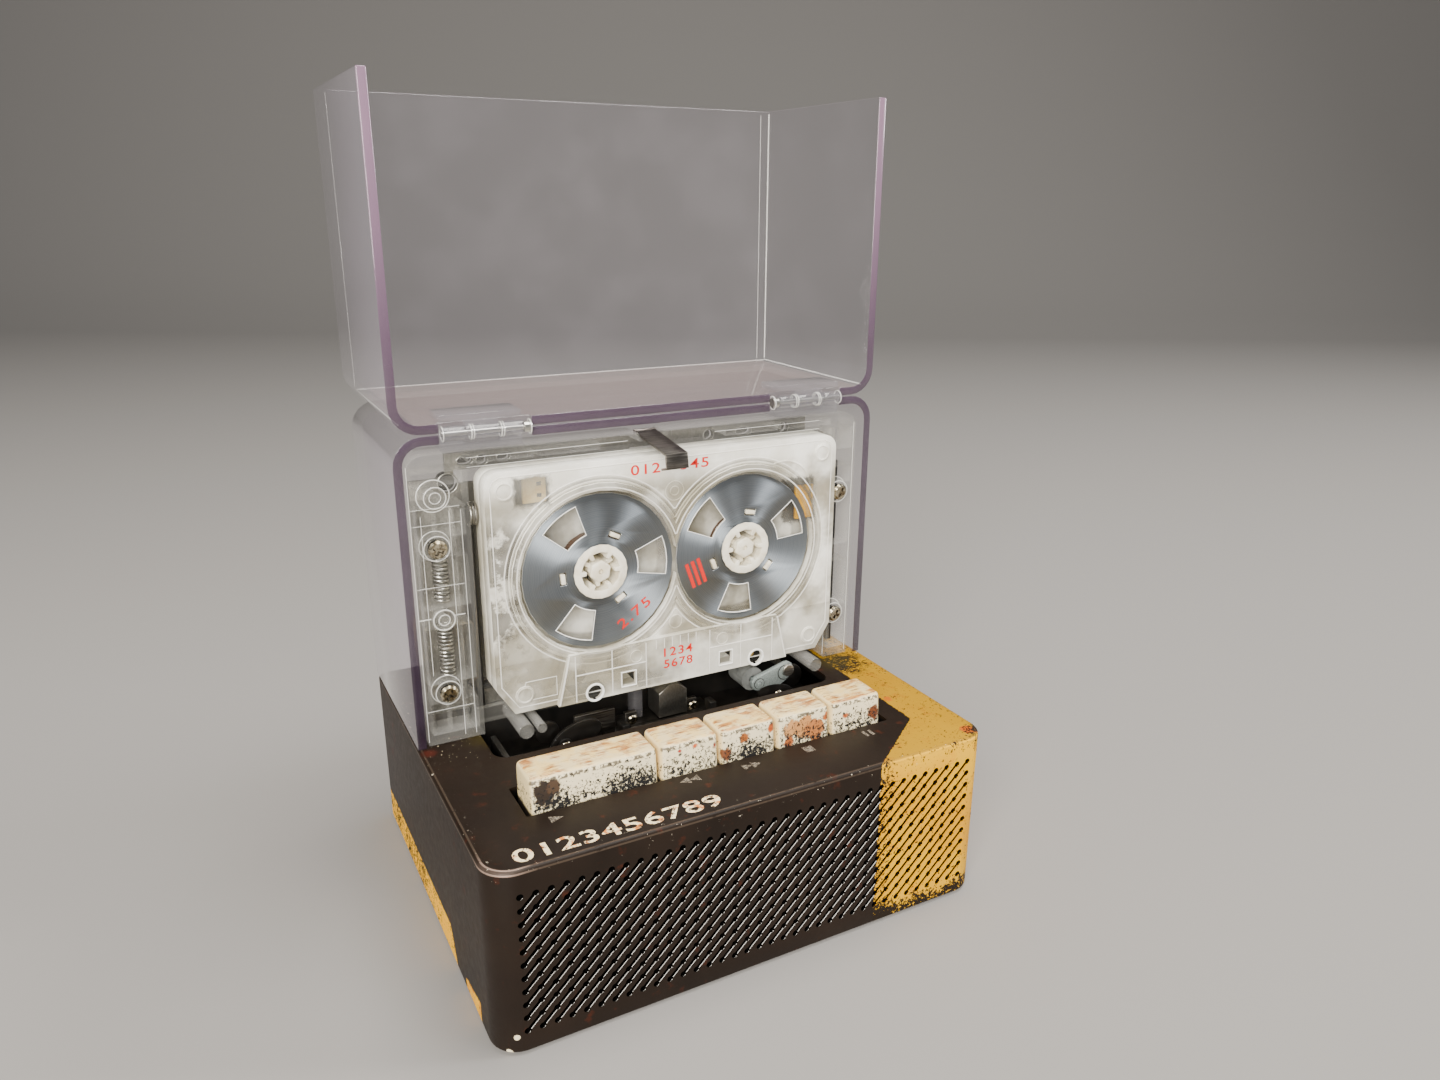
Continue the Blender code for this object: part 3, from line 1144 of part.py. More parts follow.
def make_column_springs(material):
    """The two coil springs that stand in the left column."""
    for name, low, high in (("column_spring_upper", LEFT_BLOCK_HEIGHTS[2], LEFT_BLOCK_HEIGHTS[1]),
                            ("column_spring_lower", LEFT_BLOCK_HEIGHTS[3], LEFT_BLOCK_HEIGHTS[2])):
        bottom = low + BLOCK_HEIGHT / 2 + SPRING_END_SPACE
        top = high - BLOCK_HEIGHT / 2 - SPRING_END_SPACE
        count = SPRING_TURNS * SPRING_POINTS
        curve = bpy.data.curves.new(name, "CURVE")
        curve.dimensions = "3D"
        curve.bevel_depth = SPRING_WIRE
        curve.bevel_resolution = 1
        curve.use_fill_caps = True
        spline = curve.splines.new("POLY")
        spline.points.add(count)
        for index, point in enumerate(spline.points):
            angle = math.tau * index / SPRING_POINTS
            point.co = (SPRING_X + SPRING_RADIUS * math.cos(angle),
                        SPRING_Y + SPRING_RADIUS * math.sin(angle),
                        bottom + (top - bottom) * index / count, 1.0)
        holder = bpy.data.objects.new(name, curve)
        bpy.context.scene.collection.objects.link(holder)
        graph = bpy.context.evaluated_depsgraph_get()
        mesh = bpy.data.meshes.new_from_object(holder.evaluated_get(graph))
        bpy.data.objects.remove(holder, do_unlink=True)
        bpy.data.curves.remove(curve)
        weld_mesh(mesh)
        smooth(add_object(name, mesh, material))
        print(name, "least gap between turns", (top - bottom) / SPRING_TURNS - 2 * SPRING_WIRE)


def make_chassis(material):
    """The stamped steel plate behind the clear frame, with its holes, slots and notches."""
    left = FRAME_LEFT + CHASSIS_SIDE_INSET
    right = FRAME_RIGHT - CHASSIS_SIDE_INSET
    bottom = BLOCK_TOP + GAP
    top = FRAME_TOP - CHASSIS_SIDE_INSET
    notch_x, notch_z = CHASSIS_NOTCH
    outline = [(left, bottom), (right, bottom), (right, top - notch_z), (right - notch_x, top - notch_z),
               (right - notch_x, top), (left + notch_x, top), (left + notch_x, top - notch_z),
               (left, top - notch_z)]
    loops = [outline]
    loops += [circle((HUB_X[side], HUB_Z), CHASSIS_HOLE_RADIUS) for side in ("left", "right")]
    loops.append(circle((CAPSTAN_X, CAPSTAN_Z + GAP), BUSH_RADIUS + 2 * GAP, SMALL_SIDES))
    slot_x = CHASSIS_SLOT[0] / 2
    slot_z = CHASSIS_SLOT[1] / 2
    through = (CHASSIS_FRONT - OVERRUN, CHASSIS_BACK + OVERRUN)
    slots = []
    for x, z in ((left + 2 * notch_x, top - notch_z), (right - 2 * notch_x, top - notch_z - slot_z),
                 (CASSETTE_CENTRE_X, top - notch_z + slot_z / 2), (left + 2 * notch_x, bottom + notch_z)):
        slots.append(box_mesh("slot", (x - slot_x, x + slot_x), through, (z - slot_z, z + slot_z)))
    window = (SIGHT_WINDOW[0] / 2, SIGHT_WINDOW[1] / 2)
    slots.append(box_mesh("window", (CASSETTE_CENTRE_X - window[0], CASSETTE_CENTRE_X + window[0]),
                          through, (HUB_Z - window[1], HUB_Z + window[1])))
    chassis = add_object("steel_chassis", outline_mesh("plate", loops, "Y", (CHASSIS_FRONT, CHASSIS_BACK)),
                         material)
    cut(chassis, merged_mesh("slots", slots))
    centre, radius = idler_place()
    join(chassis, rod_mesh("idler_pin", CAPSTAN_RADIUS, "Y", centre,
                           (CHASSIS_BACK - CHASSIS_THICKNESS / 2,
                            CHASSIS_BACK + GAP + DRIVE_WHEEL_WIDTH + DRIVE_SPACE), SMALL_SIDES))


def make_deck_block(material):
    """The black moulded body below the cassette, with the ledge, the key shaft's ears and its legs."""
    x = (BLOCK_LEFT, BLOCK_RIGHT)
    block = add_object("deck_block", box_mesh("body", x, (BLOCK_FRONT, BLOCK_BACK),
                                              (BLOCK_BOTTOM, BLOCK_TOP)), material)
    join(block, box_mesh("ledge", x, (LEDGE_FRONT, BLOCK_FRONT + OVERRUN),
                         (BLOCK_BOTTOM, LEDGE_TOP)))
    join(block, box_mesh("step", x, (STEP_FRONT, LEDGE_FRONT + OVERRUN), (BLOCK_BOTTOM, STEP_TOP)))
    ears = []
    for ear_x in ((x[0], x[0] + EAR_THICKNESS), (x[1] - EAR_THICKNESS, x[1])):
        reach = KEY_SHAFT_RADIUS + EAR_RISE / 2
        ears.append(box_mesh("ear", ear_x, (KEY_SHAFT_Y - reach, KEY_SHAFT_Y + reach),
                             (STEP_TOP - OVERRUN, KEY_SHAFT_Z + EAR_RISE)))
    join(block, merged_mesh("ears", ears))
    cut(block, rod_mesh("shaft_bore", KEY_SHAFT_RADIUS + GAP, "X", (KEY_SHAFT_Y, KEY_SHAFT_Z),
                        (x[0] - OVERRUN, x[1] + OVERRUN), SMALL_SIDES))
    legs = []
    for leg_x in ((x[0], x[0] + LEG_WIDTH), (x[1] - LEG_WIDTH, x[1])):
        legs.append(box_mesh("leg", leg_x, (BLOCK_BACK - LEG_DEPTH, BLOCK_BACK),
                             (COVER_TOP + GAP, BLOCK_BOTTOM + OVERRUN)))
    join(block, merged_mesh("legs", legs))


def make_keys(materials):
    """The shaft and the five keys, each a cap on an arm that turns on the shaft."""
    shaft = rod_mesh("shaft", KEY_SHAFT_RADIUS, "X", (KEY_SHAFT_Y, KEY_SHAFT_Z),
                     (BLOCK_LEFT, BLOCK_RIGHT), SMALL_SIDES)
    add_object("key_shaft", shaft, materials["steel"])
    left = KEY_LEFT
    back = KEY_FRONT + KEY_DEPTH
    skirt = BASE_TOP - KEY_SKIRT
    for name in KEY_NAMES:
        width = PLAY_KEY_WIDTH if name == "key_play" else KEY_WIDTH
        right = left + width
        profile = [(KEY_FRONT, skirt), (KEY_FRONT + KEY_LEAN, KEY_TOP),
                   (back - KEY_LEAN / 2, KEY_TOP), (back, skirt)]
        cap = outline_mesh("cap", [[(y, z) for y, z in profile]], "X", (left, right))
        round_edges(cap, KEY_ROUND, 2, lambda point: point.z > KEY_TOP - WELD)
        key = add_object(name, cap, materials["key"])
        arm_x = (left + KEY_ARM_INSET, right - KEY_ARM_INSET)
        arm_top = KEY_SHAFT_Z + KEY_BARREL_RADIUS - GAP
        join(key, box_mesh("arm", arm_x, (KEY_FRONT + KEY_ARM_INSET, KEY_SHAFT_Y),
                           (arm_top - KEY_ARM_THICKNESS, arm_top)))
        join(key, rod_mesh("barrel", KEY_BARREL_RADIUS, "X", (KEY_SHAFT_Y, KEY_SHAFT_Z), arm_x,
                           SMALL_SIDES))
        cut(key, rod_mesh("bore", KEY_SHAFT_RADIUS + GAP, "X", (KEY_SHAFT_Y, KEY_SHAFT_Z),
                          (left, right), SMALL_SIDES))
        left = right + KEY_SPACE


def make_heads(materials):
    """The head bridge with its plate and lugs, the play head, the tape guide and the screws."""
    middle = HEAD_X
    head_back = HEAD_FRONT + HEAD_DEPTH
    bridge = add_object("head_bridge", box_mesh("shelf", (BRIDGE_LEFT, BRIDGE_RIGHT),
                                                (BRIDGE_FRONT, head_back), (HEAD_FLOOR, BRIDGE_TOP)),
                        materials["dark_steel"])
    join(bridge, box_mesh("plate", (BRIDGE_LEFT, BRIDGE_LEFT + BRIDGE_PLATE_WIDTH),
                          (BRIDGE_FRONT, BRIDGE_FRONT + BRIDGE_SHELF),
                          (HEAD_FLOOR + BRIDGE_SHELF / 2, BRIDGE_PLATE_TOP)))
    lug_reach = HEAD_SCREW_RADIUS + GAP
    lug_y = (HEAD_FRONT + HEAD_SCREW_RADIUS, HEAD_FRONT + 2 * HEAD_SCREW_RADIUS)
    lug_top = BRIDGE_TOP + HEAD_LUG_HEIGHT
    lugs = []
    screws = []
    for x in HEAD_SCREWS_X:
        lugs.append(box_mesh("lug", (x - lug_reach, x + lug_reach), lug_y,
                             (HEAD_FLOOR + BRIDGE_SHELF / 2, lug_top)))
        screws.append((x, lug_top - lug_reach))
    join(bridge, merged_mesh("lugs", lugs))
    for name, place in zip(("head_screw_left", "head_screw_right"), screws):
        add_object(name, rod_mesh("head", HEAD_SCREW_RADIUS, "Y", place,
                                  (lug_y[0] - GAP - HEAD_SCREW_RADIUS, lug_y[0] - GAP), SMALL_SIDES),
                   materials["steel"])
    plate_screw = (BRIDGE_LEFT + BRIDGE_PLATE_WIDTH / 2, BRIDGE_TOP + HEAD_LUG_HEIGHT)
    add_object("bridge_screw", rod_mesh("head", HEAD_SCREW_RADIUS, "Y", plate_screw,
                                        (BRIDGE_FRONT - GAP - HEAD_SCREW_RADIUS, BRIDGE_FRONT - GAP),
                                        SMALL_SIDES), materials["steel"])
    half = HEAD_WIDTH / 2
    crown_top = HEAD_TOP
    profile = [(middle - half, BRIDGE_TOP + GAP), (middle + half, BRIDGE_TOP + GAP),
               (middle + half, crown_top - HEAD_CROWN)]
    profile += [(middle + half / 2, crown_top - HEAD_CROWN / 4), (middle + half / 4, crown_top),
                (middle - half / 4, crown_top), (middle - half / 2, crown_top - HEAD_CROWN / 4),
                (middle - half, crown_top - HEAD_CROWN)]
    add_object("play_head", outline_mesh("head", [profile], "Y", (HEAD_FRONT, head_back)),
               materials["steel"])
    guide_x = (GUIDE_X - GUIDE_WIDTH / 2, GUIDE_X + GUIDE_WIDTH / 2)
    add_object("tape_guide", box_mesh("guide", guide_x,
                                      (lug_y[1] + GAP, head_back),
                                      (BRIDGE_TOP + GAP, BRIDGE_TOP + GAP + GUIDE_HEIGHT)),
               materials["ivory"])


def make_pinch_roller(materials):
    """The grey arm, its pivot screw and the roller that it presses on the capstan."""
    arm_y = (PINCH_ARM_FRONT, PINCH_ARM_FRONT + PINCH_ARM_THICKNESS)
    start = PINCH_ROLLER
    end = PINCH_PIVOT
    angle = math.atan2(end[1] - start[1], end[0] - start[0])
    quarter = math.pi / 2
    outline = arc(end, PINCH_ARM_END_RADIUS, angle - quarter, angle + quarter, CORNER_STEPS)
    outline += arc(start, PINCH_ARM_END_RADIUS, angle + quarter, angle + 3 * quarter, CORNER_STEPS)
    arm = add_object("pinch_arm", outline_mesh("arm", [outline, circle(end, PINCH_PIVOT_BORE, SMALL_SIDES)],
                                               "Y", arm_y), materials["grey"])
    join(arm, rod_mesh("axle", PINCH_AXLE_RADIUS, "Y", start,
                       (arm_y[0] - PINCH_AXLE_RADIUS, PINCH_ROLLER_BACK), SMALL_SIDES))
    roller = outline_mesh("roller", [circle(start, PINCH_ROLLER_RADIUS),
                                     circle(start, PINCH_AXLE_RADIUS + GAP, SMALL_SIDES)], "Y",
                          (PINCH_ROLLER_FRONT, PINCH_ROLLER_BACK))
    add_object("pinch_roller", roller, materials["roller"])
    screw = add_object("pinch_pivot", rod_mesh("shank", PINCH_SCREW_RADIUS, "Y", end,
                                               (arm_y[0] - GAP, LOWER_BAR_BACK - LOWER_BAR_DEPTH - GAP),
                                               SMALL_SIDES), materials["steel"])
    join(screw, rod_mesh("head", PINCH_SCREW_HEAD, "Y", end,
                         (arm_y[0] - GAP - PINCH_SCREW_RADIUS, arm_y[0] - GAP), SMALL_SIDES))


def make_drive(materials):
    """The capstan with its flywheel, its bush, the motor, the pulley, the belt and the idler."""
    axis = (CAPSTAN_X, CAPSTAN_Z)
    wheel_front = CHASSIS_BACK + GAP
    fly_back = FLYWHEEL_FRONT + FLYWHEEL_WIDTH
    rim = (FLYWHEEL_WIDTH - BELT_WIDTH) / 2 - GAP
    profile = [(0, CAPSTAN_TIP), (CAPSTAN_RADIUS, CAPSTAN_TIP), (CAPSTAN_RADIUS, wheel_front),
               (PINION_RADIUS, wheel_front), (PINION_RADIUS, wheel_front + DRIVE_WHEEL_WIDTH),
               (CAPSTAN_RADIUS, wheel_front + DRIVE_WHEEL_WIDTH), (CAPSTAN_RADIUS, FLYWHEEL_FRONT),
               (FLYWHEEL_RADIUS, FLYWHEEL_FRONT), (FLYWHEEL_RADIUS, FLYWHEEL_FRONT + rim),
               (FLYWHEEL_GROOVE_RADIUS, FLYWHEEL_FRONT + rim), (FLYWHEEL_GROOVE_RADIUS, fly_back - rim),
               (FLYWHEEL_RADIUS, fly_back - rim), (FLYWHEEL_RADIUS, fly_back), (0, fly_back)]
    smooth(add_object("flywheel", turned_mesh("flywheel", profile[::-1], axis, WIDE_SIDES),
                      materials["brass"]))
    bush = outline_mesh("bush", [circle(axis, BUSH_RADIUS, SMALL_SIDES),
                                 circle(axis, BUSH_BORE, SMALL_SIDES)], "Y",
                        (BUSH_FRONT, CHASSIS_BACK))
    add_object("capstan_bush", bush, materials["brass"])

    motor_axis = (MOTOR_X, MOTOR_Z)
    motor_front = CHASSIS_BACK + GAP
    motor = rod_mesh("can", MOTOR_RADIUS, "Y", motor_axis, (motor_front, motor_front + MOTOR_LENGTH))
    add_object("motor", motor, materials["steel"])
    pulley_front = motor_front + MOTOR_LENGTH + GAP
    flange = PULLEY_FLANGE_RADIUS
    belt_y = (FLYWHEEL_FRONT + rim + GAP, fly_back - rim - GAP)
    profile = [(0, min(pulley_front, belt_y[0] - 2 * GAP)), (flange, min(pulley_front, belt_y[0] - 2 * GAP)),
               (flange, belt_y[0] - GAP), (PULLEY_RADIUS, belt_y[0] - GAP), (PULLEY_RADIUS, belt_y[1] + GAP),
               (flange, belt_y[1] + GAP), (flange, fly_back), (0, fly_back)]
    smooth(add_object("motor_pulley", turned_mesh("pulley", profile[::-1], motor_axis),
                      materials["brass"]))
    inner_wheel = FLYWHEEL_GROOVE_RADIUS + GAP
    inner_pulley = PULLEY_RADIUS + GAP
    loops = []
    for extra in (BELT_THICKNESS, 0):
        loops.append(belt_loop(axis, inner_wheel + extra, motor_axis, inner_pulley + extra))
    add_object("drive_belt", outline_mesh("belt", loops, "Y", belt_y), materials["rubber"])

    centre, radius = idler_place()
    idler = outline_mesh("idler", [circle(centre, radius), circle(centre, CAPSTAN_RADIUS + GAP, SMALL_SIDES)],
                         "Y", (wheel_front, wheel_front + DRIVE_WHEEL_WIDTH))
    add_object("idler_wheel", idler, materials["rubber"])


def belt_loop(wheel, wheel_radius, pulley, pulley_radius):
    """Return the outline of a belt run round two wheels."""
    heading = math.atan2(pulley[1] - wheel[1], pulley[0] - wheel[0])
    lean = math.acos((wheel_radius - pulley_radius) / math.dist(wheel, pulley))
    points = arc(wheel, wheel_radius, heading + lean, heading + math.tau - lean, ROUND_SIDES)
    points += arc(pulley, pulley_radius, heading - lean, heading + lean, ROUND_SIDES // 2)
    return points


def make_rear_bracket(material):
    """The steel bracket behind the flywheel, on two posts from the chassis."""
    front = FLYWHEEL_FRONT + FLYWHEEL_WIDTH + GAP
    low, high = BRACKET_POST_HEIGHTS
    reach = BRACKET_POST_RADIUS
    outline = rounded_box((BRACKET_LEFT, BRACKET_POST_X + reach), (low - reach, high + reach), [reach] * 4)
    bracket = add_object("flywheel_bracket", outline_mesh("plate", [outline], "Y",
                                                          (front, front + BRACKET_THICKNESS)), material)
    posts = [rod_mesh("post", reach, "Y", (BRACKET_POST_X, height),
                      (CHASSIS_BACK + GAP, front + BRACKET_THICKNESS / 2), SMALL_SIDES)
             for height in (low, high)]
    join(bracket, merged_mesh("posts", posts))


def make_tape_clip(material):
    """The bent steel leaf that reaches over the cassette's top edge."""
    pivot = (CLIP_PIVOT_Y, CLIP_PIVOT_Z)
    path = [pivot, (CLIP_FRONT, CLIP_FRONT_Z), (CLIP_FRONT - CLIP_THICKNESS, CLIP_LIP_Z), CLIP_TONGUE]
    half = CLIP_WIDTH / 2
    mesh = bpy.data.meshes.new("leaf")
    points = []
    for y, z in path:
        points.append((CLIP_X - half, y, z))
        points.append((CLIP_X + half, y, z))
    faces = [(2 * index, 2 * index + 1, 2 * index + 3, 2 * index + 2) for index in range(len(path) - 1)]
    mesh.from_pydata(points, [], faces)
    clip = add_object("tape_clip", mesh, material)
    solid = clip.modifiers.new("thickness", "SOLIDIFY")
    solid.thickness = CLIP_THICKNESS
    solid.offset = 0
    solid.use_even_offset = True
    join(clip, rod_mesh("barrel", CLIP_THICKNESS, "X", pivot, (CLIP_X - half, CLIP_X + half), SMALL_SIDES))


def make_small_blocks(materials):
    """The beige connector and the yellow cam that show through the frosted cassette."""
    for name, size, place, material in (("signal_connector", CONNECTOR_SIZE, CONNECTOR_PLACE, "beige"),
                                        ("auto_stop_cam", CAM_SIZE, CAM_PLACE, "yellow")):
        width, depth, height = size
        back = WEB_FRONT - GAP
        mesh = box_mesh(name, (place[0] - width / 2, place[0] + width / 2), (back - depth, back),
                        (place[1] - height / 2, place[1] + height / 2))
        add_object(name, mesh, materials[material])


def main():
    start_scene()
    materials = make_materials()
    make_base_housing(materials["housing"])
    make_bottom_cover(materials["cover"])
    make_power(materials)
    make_speaker(materials)
    make_tower_shell(materials["clear"])
    make_lid_shell(materials["clear"])
    make_hinge("left", -1, materials)
    make_hinge("right", 1, materials)
    make_transport_frame(materials["frame"])
    make_frame_screws(materials["steel"])
    make_column_springs(materials["steel"])
    make_chassis(materials["steel"])
    make_deck_block(materials["black"])
    make_keys(materials)
    make_heads(materials)
    make_pinch_roller(materials)
    make_drive(materials)
    make_rear_bracket(materials["steel"])
    make_tape_clip(materials["dark_steel"])
    make_small_blocks(materials)
    make_cassette_half("cassette_front", -1, materials["shell"])
    make_cassette_half("cassette_back", 1, materials["shell"])
    for side in ("left", "right"):
        make_reel(side, materials)
        make_spindle(side, materials["ivory"])


main()
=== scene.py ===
# %% [markdown]
# # Desk cassette deck
# A low painted base with a speaker grille and five worn keys carries a clear acrylic tower, and a
# clear lid stands open on top of it. A frosted cassette with two metal reels hangs in front of the
# transport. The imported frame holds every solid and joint, and this file dresses them.

# %% Load the frame
import math

import bmesh
import bpy
from mathutils import Matrix, Vector, geometry


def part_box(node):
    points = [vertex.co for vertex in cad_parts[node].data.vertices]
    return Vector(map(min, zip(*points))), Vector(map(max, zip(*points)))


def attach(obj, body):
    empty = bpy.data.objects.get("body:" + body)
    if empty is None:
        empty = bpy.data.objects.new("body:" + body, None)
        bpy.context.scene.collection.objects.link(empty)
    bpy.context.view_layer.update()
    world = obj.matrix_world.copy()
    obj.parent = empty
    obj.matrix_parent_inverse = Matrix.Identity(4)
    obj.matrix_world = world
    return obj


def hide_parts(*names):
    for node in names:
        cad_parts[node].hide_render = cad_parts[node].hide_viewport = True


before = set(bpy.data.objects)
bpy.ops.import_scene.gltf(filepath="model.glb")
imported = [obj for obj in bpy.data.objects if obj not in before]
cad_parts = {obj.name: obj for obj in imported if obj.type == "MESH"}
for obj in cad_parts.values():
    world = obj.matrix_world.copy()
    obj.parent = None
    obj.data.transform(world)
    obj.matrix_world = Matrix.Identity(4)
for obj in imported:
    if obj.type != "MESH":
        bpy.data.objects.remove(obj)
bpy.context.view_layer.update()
MM = 0.001

# %% [markdown]
# Two small helpers come first: one puts an object in the scene, and one takes the mesh that an
# object ends up with once its modifiers have run.

# %% Helpers for objects
def show(name, data):
    item = bpy.data.objects.new(name, data)
    bpy.context.scene.collection.objects.link(item)
    return item


def baked(item):
    """The object's final mesh. The object itself is taken out of the scene."""
    graph = bpy.context.evaluated_depsgraph_get()
    mesh = bpy.data.meshes.new_from_object(item.evaluated_get(graph))
    bpy.data.objects.remove(item, do_unlink=True)
    return mesh


# %% [markdown]
# The camera stands to the left of the deck and looks slightly down, as a person at the desk does.
# Its axes are worked out from the heading, the dip and a very small roll.

# %% Camera
HEADING, DIP, ROLL = (math.radians(angle) for angle in (28.33, 18.0, 0.38))
EYE = (-0.11065, -0.23575, 0.1781)
ahead = Vector((math.sin(HEADING) * math.cos(DIP), math.cos(HEADING) * math.cos(DIP), -math.sin(DIP)))
level = Vector((math.cos(HEADING), -math.sin(HEADING), 0))
above = level.cross(ahead)
right = level * math.cos(ROLL) + above * math.sin(ROLL)
up = above * math.cos(ROLL) - level * math.sin(ROLL)
camera = show("camera", bpy.data.cameras.new("camera"))
camera.matrix_world = Matrix.Translation(EYE) @ Matrix((right, up, -ahead)).transposed().to_4x4()
camera.data.sensor_width = 36
camera.data.lens = 26.14
camera.data.clip_start = 0.01
bpy.context.scene.camera = camera
print("camera looks along", [round(part, 3) for part in ahead])

# %% [markdown]
# The deck stands on a plain pale floor. The sheet is big, and it turns up far behind the deck, so
# that the picture has no hard horizon.

# %% Floor
def stage_sheet(near=-2.5, bend=1.2, radius=0.8, top=3.0, half_width=4):
    """A floor that curves up into a backdrop far behind, in metres."""
    build = bmesh.new()
    rows = [(near, 0.0), (bend, 0.0)]
    for step in range(1, 9):
        turn = step * math.pi / 16
        rows.append((bend + radius * math.sin(turn), radius - radius * math.cos(turn)))
    rows.append((bend + radius, top))
    turn = Matrix.Rotation(-HEADING, 3, "Z")
    edges = [[build.verts.new(turn @ Vector((x, y, z))) for x in (-half_width, half_width)]
             for y, z in rows]
    for low, high in zip(edges, edges[1:]):
        build.faces.new((low[0], low[1], high[1], high[0])).smooth = True
    mesh = bpy.data.meshes.new("floor")
    build.to_mesh(mesh)
    build.free()
    return mesh


floor = show("floor", stage_sheet())

# %% [markdown]
# The light is a plain soft studio: one big panel high on the left and in front, which lights the
# painted highlights in the grille's grooves and makes the bright lines on the clear edges, one above
# for the top faces, a faint one on the far left, one low on the right, which draws fans on the reels,
# and a pale room all round.

# %% Lights
PANELS = (  # name, place, the height on the deck that it faces, size, power, tint
    ("front_panel", (-0.7, -0.95, 0.64), 0.08, 0.8, 44, (1.0, 0.96, 0.89)),
    ("top_panel", (0.2, -0.1, 1.1), 0.08, 0.6, 16, (1.0, 0.97, 0.92)),
    ("left_panel", (-1.25, 0.25, 0.5), 0.1, 0.5, 2.5, (1.0, 0.97, 0.93)),
    ("side_panel", (1.15, -0.5, 0.62), 0.1, 0.25, 12, (1.0, 0.99, 0.97)))
for name, place, aim, size, power, tint in PANELS:
    lamp = bpy.data.lights.new(name, "AREA")
    lamp.shape, lamp.size, lamp.energy, lamp.color = "SQUARE", size, power, tint
    panel = show(name, lamp)
    panel.location = place
    panel.rotation_euler = (Vector((0, 0, aim)) - Vector(place)).to_track_quat("-Z", "Y").to_euler()
world = bpy.data.worlds.new("studio")
world.use_nodes = True
room_light = world.node_tree.nodes["Background"].inputs
room_light["Color"].default_value = (0.93, 0.95, 1.0, 1)
room_light["Strength"].default_value = 0.22
bpy.context.scene.world = world

# %% [markdown]
# Every finish below is a small net of nodes, written as a formula. A value is what comes out of a
# node, and plain +, - and * between values make the Math nodes. Two more calls do most of the work:
# a soft threshold, and a mix of two colours.

# %% Nets of nodes
def shade(red, green, blue):
    """A colour seen as 0 to 255 on a screen, as the linear numbers that the shaders take."""
    return tuple((part / 255) ** 2.2 for part in (red, green, blue))


class Value:
    """What comes out of a node. The sign | takes the larger of two."""

    def __init__(self, net, socket):
        self.net, self.socket = net, socket

    def __add__(self, other):
        return self.net.math("ADD", self, other)

    def __radd__(self, other):
        return self.net.math("ADD", other, self)

    def __sub__(self, other):
        return self.net.math("SUBTRACT", self, other)

    def __rsub__(self, other):
        return self.net.math("SUBTRACT", other, self)

    def __mul__(self, other):
        return self.net.math("MULTIPLY", self, other)

    def __or__(self, other):
        return self.net.math("MAXIMUM", self, other)

    def __abs__(self):
        return self.net.math("ABSOLUTE", self)

    def step(self, low, high):
        """0 below low, 1 above high, and a soft rise between them. Low may be the larger one."""
        return self.net.add("MapRange", {"Value": self, "From Min": low, "From Max": high},
                            interpolation_type="SMOOTHSTEP")

    def mix(self, first, second):
        """The first colour where this value is 0, and the second where it is 1."""
        return self.net.add("Mix", {0: self, 6: first, 7: second}, 2, data_type="RGBA")


class Net:
    """A tree of nodes that is built step by step."""

    SHARED = ("Math", "CombineXYZ", "SeparateXYZ")

    def __init__(self, tree, prefix):
        self.tree, self.prefix = tree, prefix

    def feed(self, socket, value):
        """Links a socket or sets its own value."""
        if isinstance(value, Value):
            self.tree.links.new(value.socket, socket)
        elif socket.type == "RGBA" and len(value) == 3:
            socket.default_value = (*value, 1)
        else:
            socket.default_value = value

    def add(self, kind, inputs=None, output=0, **settings):
        """Adds a node and gives one of its outputs."""
        node = self.tree.nodes.new(("ShaderNode" if kind in self.SHARED else self.prefix) + kind)
        for label, value in settings.items():
            setattr(node, label, value)
        for label, value in (inputs or {}).items():
            self.feed(node.inputs[label], value)
        return Value(self, node.outputs[output])

    def math(self, operation, first, second=0.0, third=0.0):
        return self.add("Math", {0: first, 1: second, 2: third}, operation=operation)

    def parts(self, vector):
        """The x, y and z of a vector."""
        split = self.add("SeparateXYZ", {0: vector}).socket.node
        return [Value(self, socket) for socket in split.outputs]


